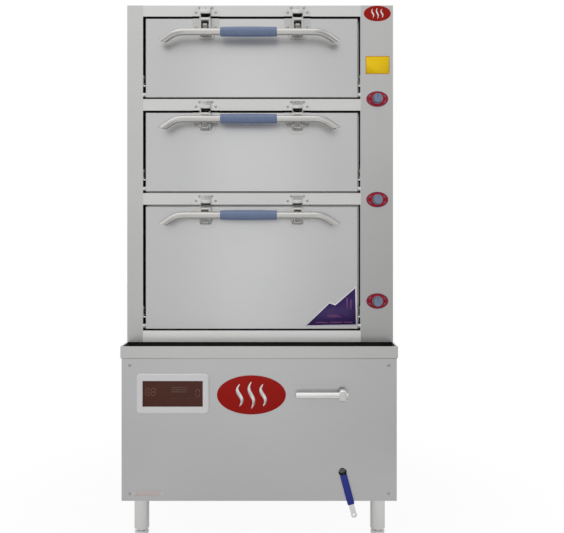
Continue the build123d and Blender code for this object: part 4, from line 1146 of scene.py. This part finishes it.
@dataclass
class BaseFront(Dressed):
    """The base's panels, badge, blank plate, levers, legs and feet."""

    screw: CrossHead = CrossHead(0.0052, 0.0028)
    screw_x: float = 0.443
    screw_heights: Point = (0.158, 0.597)
    badge: Badge = Badge(0.2355, 0.133, 0.0048)
    badge_at: Point = (-0.0265, 0.496)
    # painted shadow under the apron's edge: its drop below the apron and its thickness
    shadow_drop: float = 0.0022
    shadow_thick: float = 0.0006
    plate_at: Point = (-0.3815, 0.158)
    plate_size: Point = (0.085, 0.016)
    plate_thick: float = 0.0006
    rivet: Dome = Dome(0.0028, 0.0016)
    rivet_gap: float = 0.006
    side_inset: float = 0.028
    top_inset: float = 0.055
    back_flange: float = 0.007

    def make(self) -> None:
        """Dresses the base and adds its small parts."""
        self.dress(Finishes.BASE, "base_front_panel", "base_side_panels", "base_back_panel", "base_bottom_plate")
        self.dress(Finishes.APRON, "deck_tray")
        self.dress(Finishes.LEG, "legs")
        self.dress(Finishes.BRIGHT, "foot_1", "foot_2", "foot_3", "foot_4")
        self.dress(Finishes.DRAIN, "drain_lever")
        self.dress(Finishes.BRIGHT, "gear_lever")
        self.dress(Finishes.SLEEVE, "drain_lever_sleeve")
        face = self.low("base_front_panel").y
        seats = [seat(sx * self.screw_x, face, z) for sx in (-1, 1) for z in self.screw_heights]
        fasten("front_panel_screws", self.screw, seats, self.finishes.of(Finishes.SUNK), CABINET)
        self._painted_shadow_line(face)
        self.badge.make("base_badge", seat(self.badge_at[0], face, self.badge_at[1]),
                        self.finishes.of(Finishes.BASE_BADGE), self.finishes.of(Finishes.BRIGHT), CABINET)
        self._small_plate(face)
        self._fasten_sides()

    def _painted_shadow_line(self, face: float) -> None:
        """A painted shadow line: a thin dark strip where the tray's apron laps over the front panel.

        Args:
            face: where the panel's front stands along Y.
        """
        shadow_strip = Shape()
        half, foot = self.high("base_front_panel").x - 0.001, self.low("deck_tray").z
        shadow_strip.prism(upright(half, (-self.shadow_drop, 0.0)), 0.0, self.shadow_thick, seat(0.0, face, foot))
        shadow_strip.build("apron_painted_shadow", self.finishes.of(Finishes.SUNK), CABINET)

    def _small_plate(self, face: float) -> None:
        """A blank plate with a rivet at each end.

        Args:
            face: where the panel's front stands along Y.
        """
        at = seat(self.plate_at[0], face, self.plate_at[1])
        plate = Shape()
        plate.prism(rounded(*self.plate_size, 0.002), 0.0, self.plate_thick, at)
        plate.build("blank_plate", self.finishes.of(Finishes.PLATE), CABINET, 0.0002)
        reach = self.plate_size[0] / 2 + self.rivet_gap
        fasten("blank_plate_rivets", self.rivet,
               [seat(self.plate_at[0] + side * reach, face, self.plate_at[1]) for side in (-1, 1)],
               self.finishes.of(Finishes.SCREW), CABINET)

    def _fasten_sides(self) -> None:
        """Screws at the corners of the base's side and back panels."""
        low, high, inset = self.low("base_side_panels"), self.high("base_side_panels"), self.side_inset
        heights = (low.z + inset, high.z - self.top_inset)
        places = [(y, z) for y in (low.y + inset, high.y - inset) for z in heights]
        seats = [seat(high.x, y, z, Facing.RIGHT) for y, z in places]
        seats += [seat(low.x, y, z, Facing.LEFT) for y, z in places]
        low, high = self.low("base_back_panel"), self.high("base_back_panel")
        seats += [seat(x, high.y - self.back_flange, z, Facing.BACK) for x in (low.x + inset, high.x - inset)
                  for z in (low.z + inset, high.z - self.top_inset)]
        fasten("base_panel_screws", self.screw, seats, self.finishes.of(Finishes.SCREW), CABINET)


class Segment(Enum):
    """The bars of a seven-part digit, as the ends of each in units of half a digit's width."""

    TOP = ((-1, 2), (1, 2))
    MIDDLE = ((-1, 0), (1, 0))
    BOTTOM = ((-1, -2), (1, -2))
    UPPER_LEFT = ((-1, 0), (-1, 2))
    UPPER_RIGHT = ((1, 0), (1, 2))
    LOWER_LEFT = ((-1, -2), (-1, 0))
    LOWER_RIGHT = ((1, -2), (1, 0))


EIGHT = tuple(Segment)
ZERO = tuple(part for part in Segment if part is not Segment.MIDDLE)


@dataclass
class Display(Dressed):
    """The display's bezel and dark window, and the faint parts lit behind it, placed by shares of the window."""

    digit_width: float = 0.0125
    stroke: float = 0.0026
    stroke_gap: float = 0.6
    segment_thick: float = 0.0002
    digit_places: tuple[Point, ...] = ((-0.415, 0.07), (-0.320, 0.07), (0.415, 0.02))
    dot_radius: float = 0.0016
    dot_count: int = 9
    first_dot: Point = (-0.01, -0.19)
    dot_pitch: float = 0.048
    row_count: int = 3
    first_row: Point = (0.11, 0.07)
    row_pitch: float = 0.085
    row_size: Point = (0.27, 0.05)

    def make(self) -> None:
        """Dresses the display and lights its digits."""
        self.dress(Finishes.BEZEL, "display_bezel")
        self.dress(Finishes.WINDOW, "display_window")
        low, high = self.low("display_window"), self.high("display_window")
        at = seat((low.x + high.x) / 2, low.y, (low.z + high.z) / 2)
        width, height = high.x - low.x, high.z - low.z
        digits = Shape()
        for (x, y), parts in zip(self.digit_places, (EIGHT, EIGHT, ZERO)):
            self._digit(digits, x * width, y * height, parts, at)
        digits.build("display_digits", self.finishes.of(Finishes.LIT_DIGITS), CABINET)
        dots = Shape()
        button = [(self.dot_radius, 0.0), (self.dot_radius, self.segment_thick), (0.0001, self.segment_thick)]
        for n in range(self.dot_count):
            x, y = self.first_dot[0] + self.dot_pitch * n, self.first_dot[1]
            dots.turned(button, at @ Matrix.Translation((width * x, height * y, 0.0)), 12)
        strip = rounded(width * self.row_size[0], height * self.row_size[1], 0.001, 2)
        for n in range(self.row_count):
            x, y = self.first_row[0], self.first_row[1] + self.row_pitch * n
            dots.prism(strip, 0.0, self.segment_thick, at @ Matrix.Translation((width * x, height * y, 0.0)))
        dots.build("display_dots", self.finishes.of(Finishes.LIT_DOTS), CABINET)

    def _digit(self, shape: Shape, x: float, y: float, parts: Sequence[Segment], at: Matrix) -> None:
        """Adds one digit.

        Args:
            shape: the piece that gathers the digits.
            x: the digit's middle along the window.
            y: the digit's middle up the window.
            parts: the bars that are lit.
            at: the window's seat.
        """
        half = self.digit_width / 2
        for part in parts:
            (ax, ay), (bx, by) = part.value
            start, end = Vector((x + ax * half, y + ay * half)), Vector((x + bx * half, y + by * half))
            run = (end - start).normalized() * (self.stroke * self.stroke_gap)
            path = [tuple(start + run), tuple((start + end) / 2), tuple(end - run)]
            shape.ribbon(path, [self.stroke] * len(path), 0.0, self.segment_thick, at)


# ---- studio -------------------------------------------------------------------------------------------
@dataclass(frozen=True)
class Floor:
    """A round pale floor that fades into the white round it, with the cabinet's shadow near the middle."""

    reach: float = 1.5
    fade: Point = (0.45, 0.92)
    tone: float = 0.76
    speck: float = 0.02
    shown: float = 0.94
    mirrored: float = 0.36

    def lay(self) -> None:
        """Makes the floor, which stands outside the model."""
        shape = Shape()
        radii = (self.reach, self.reach / 2, 0.001)
        shape.rings([[Vector((r * math.cos(a), r * math.sin(a), 0.0)) for a in around(64)] for r in radii],
                    Matrix.Identity(4))
        mesh = bpy.data.meshes.new("floor")
        mesh.from_pydata(shape.points, [], shape.faces)
        floor = bpy.data.objects.new("floor", mesh)
        bpy.context.scene.collection.objects.link(floor)
        mesh.materials.append(self._paint())

    def _paint(self) -> bpy.types.Material:
        """A matt white under a plain one, which the camera sees most of and the steel mirrors in part.

        Returns:
            The material.
        """
        material = bpy.data.materials.new("floor_white")
        material.use_nodes = True
        graph = Graph(material.node_tree)
        place = graph.place()
        away = graph.add("ShaderNodeVectorMath", {"operation": "LENGTH"}, {0: place}, "Value")
        fade = away.between(self.reach * self.fade[0], self.reach * self.fade[1])
        level = (1.0 - self.speck / 2) + graph.noise(place, 30.0, 3.0, 0.5) * self.speck
        matt = graph.add("ShaderNodeBsdfDiffuse", {}, {"Color": graph.shade(grey(self.tone), level)})
        white = graph.add("ShaderNodeEmission", {}, {"Color": grey(1.0), "Strength": 1.0})
        plain = graph.direct() * (self.shown + fade * (1.0 - self.shown))
        plain = plain + graph.ray("Is Glossy Ray") * self.mirrored
        mixed = graph.add("ShaderNodeMixShader", {}, {0: plain.clamp(), 1: matt, 2: white})
        graph.add("ShaderNodeOutputMaterial", {}, {"Surface": mixed})
        return material


@dataclass(frozen=True)
class Room:
    """The studio as the steel mirrors it, with a darker line where its floor ends, and white straight behind.

    Each strength goes with the span of directions over which it comes in.
    """

    level: float = 0.785
    rise: float = 0.33
    rise_span: Point = (-0.7, 0.9)
    right: float = 0.14
    right_span: Point = (-0.35, 0.45)
    front: float = 0.07
    front_span: Point = (-0.95, -0.2)
    line: float = 0.34
    line_start: Point = (-0.46, -0.36)
    line_end: Point = (-0.26, -0.16)
    overhead: float = 0.22
    overhead_span: Point = (0.62, 0.95)
    band: float = 0.5
    band_start: Point = (-0.20, -0.05)
    band_end: Point = (-0.05, 0.12)
    band_top: Point = (0.1, 0.3)

    def light(self) -> None:
        """Makes the world."""
        world = bpy.data.worlds.new("studio")
        bpy.context.scene.world = world
        world.use_nodes = True
        graph = Graph(world.node_tree)
        way = graph.add("ShaderNodeTexCoord", {}, {}, "Generated")
        across, depth, height = (graph.part_of(way, axis) for axis in "XYZ")
        front = 1.0 - depth.between(*self.front_span)
        line = height.between(*self.line_start) * (1.0 - height.between(*self.line_end))
        band = across.between(*self.band_start) * (1.0 - across.between(*self.band_end))
        band = band * (1.0 - height.between(*self.band_top))
        room = self.level + height.between(*self.rise_span) * self.rise - front * self.front - line * self.line
        room = room - across.between(*self.right_span) * self.right
        room = room - height.between(*self.overhead_span) * self.overhead + band * self.band
        direct = graph.direct()
        glow = graph.add("ShaderNodeBackground", {}, {
            "Color": grey(1.0), "Strength": direct + (1.0 - direct) * room})
        graph.add("ShaderNodeOutputWorld", {}, {"Surface": glow})


@dataclass(frozen=True)
class Lamp:
    """A square soft lamp, with its side in metres and its power in watts."""

    name: str
    place: tuple[float, float, float]
    target: tuple[float, float, float]
    side: float
    power: float

    def hang(self) -> None:
        """Adds the lamp to the studio."""
        data = bpy.data.lights.new(self.name, "AREA")
        data.shape = "SQUARE"
        data.size = self.side
        data.energy = self.power
        lamp = bpy.data.objects.new(self.name, data)
        lamp.location = self.place
        lamp.rotation_euler = (Vector(self.target) - Vector(self.place)).to_track_quat("-Z", "Y").to_euler()
        bpy.context.scene.collection.objects.link(lamp)


@dataclass(frozen=True)
class Camera:
    """A camera, level and square to the front, whose picture's sizes and vanishing point are in pixels."""

    image: tuple[int, int] = (564, 533)
    focal: float = 772.6
    vanishing: Point = (284.0, 235.0)
    eye: tuple[float, float, float] = (0.085, -3.090, 1.043)
    sensor: float = 36.0

    def stand(self) -> None:
        """Adds the camera and looks through it."""
        width, height = self.image
        data = bpy.data.cameras.new("camera")
        data.sensor_width = self.sensor
        data.lens = self.sensor * self.focal / width
        data.shift_x = (width / 2 - self.vanishing[0]) / width
        data.shift_y = (self.vanishing[1] - height / 2) / width
        camera = bpy.data.objects.new("camera", data)
        camera.location = self.eye
        camera.rotation_euler = (math.radians(90.0), 0.0, 0.0)
        bpy.context.scene.collection.objects.link(camera)
        bpy.context.scene.camera = camera


@dataclass(frozen=True)
class Studio:
    """A pale floor, soft light and the camera at the photograph's place."""

    floor: Floor = Floor()
    room: Room = Room()
    lamps: tuple[Lamp, ...] = (
        Lamp("key", (-0.6, -1.6, 4.2), (0.0, -0.4, 1.1), 3.2, 17.0),
        Lamp("fill", (3.2, -2.2, 2.4), (0.0, -0.2, 1.0), 2.6, 5.0),
        Lamp("rear", (0.5, 3.4, 3.2), (0.0, 0.2, 1.0), 2.6, 16.0))
    camera: Camera = Camera()

    def make(self) -> None:
        """Sets up the floor, the world, the lamps and the camera."""
        bpy.context.scene.view_settings.view_transform = "Standard"
        self.floor.lay()
        self.room.light()
        for lamp in self.lamps:
            lamp.hang()
        self.camera.stand()


def main() -> None:
    """Loads the frame, dresses each sub-assembly in order and sets up the studio."""
    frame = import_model()
    finishes = Finishes()
    for assembly in (Casing, Latches, Doors, Handles, ControlColumn, BaseFront, Display):
        assembly(frame["nodes"], finishes).make()
        log.info("%s is done", assembly.__name__)
    Studio().make()


if __name__ == "__main__":
    logging.basicConfig(level=logging.INFO)
    main()
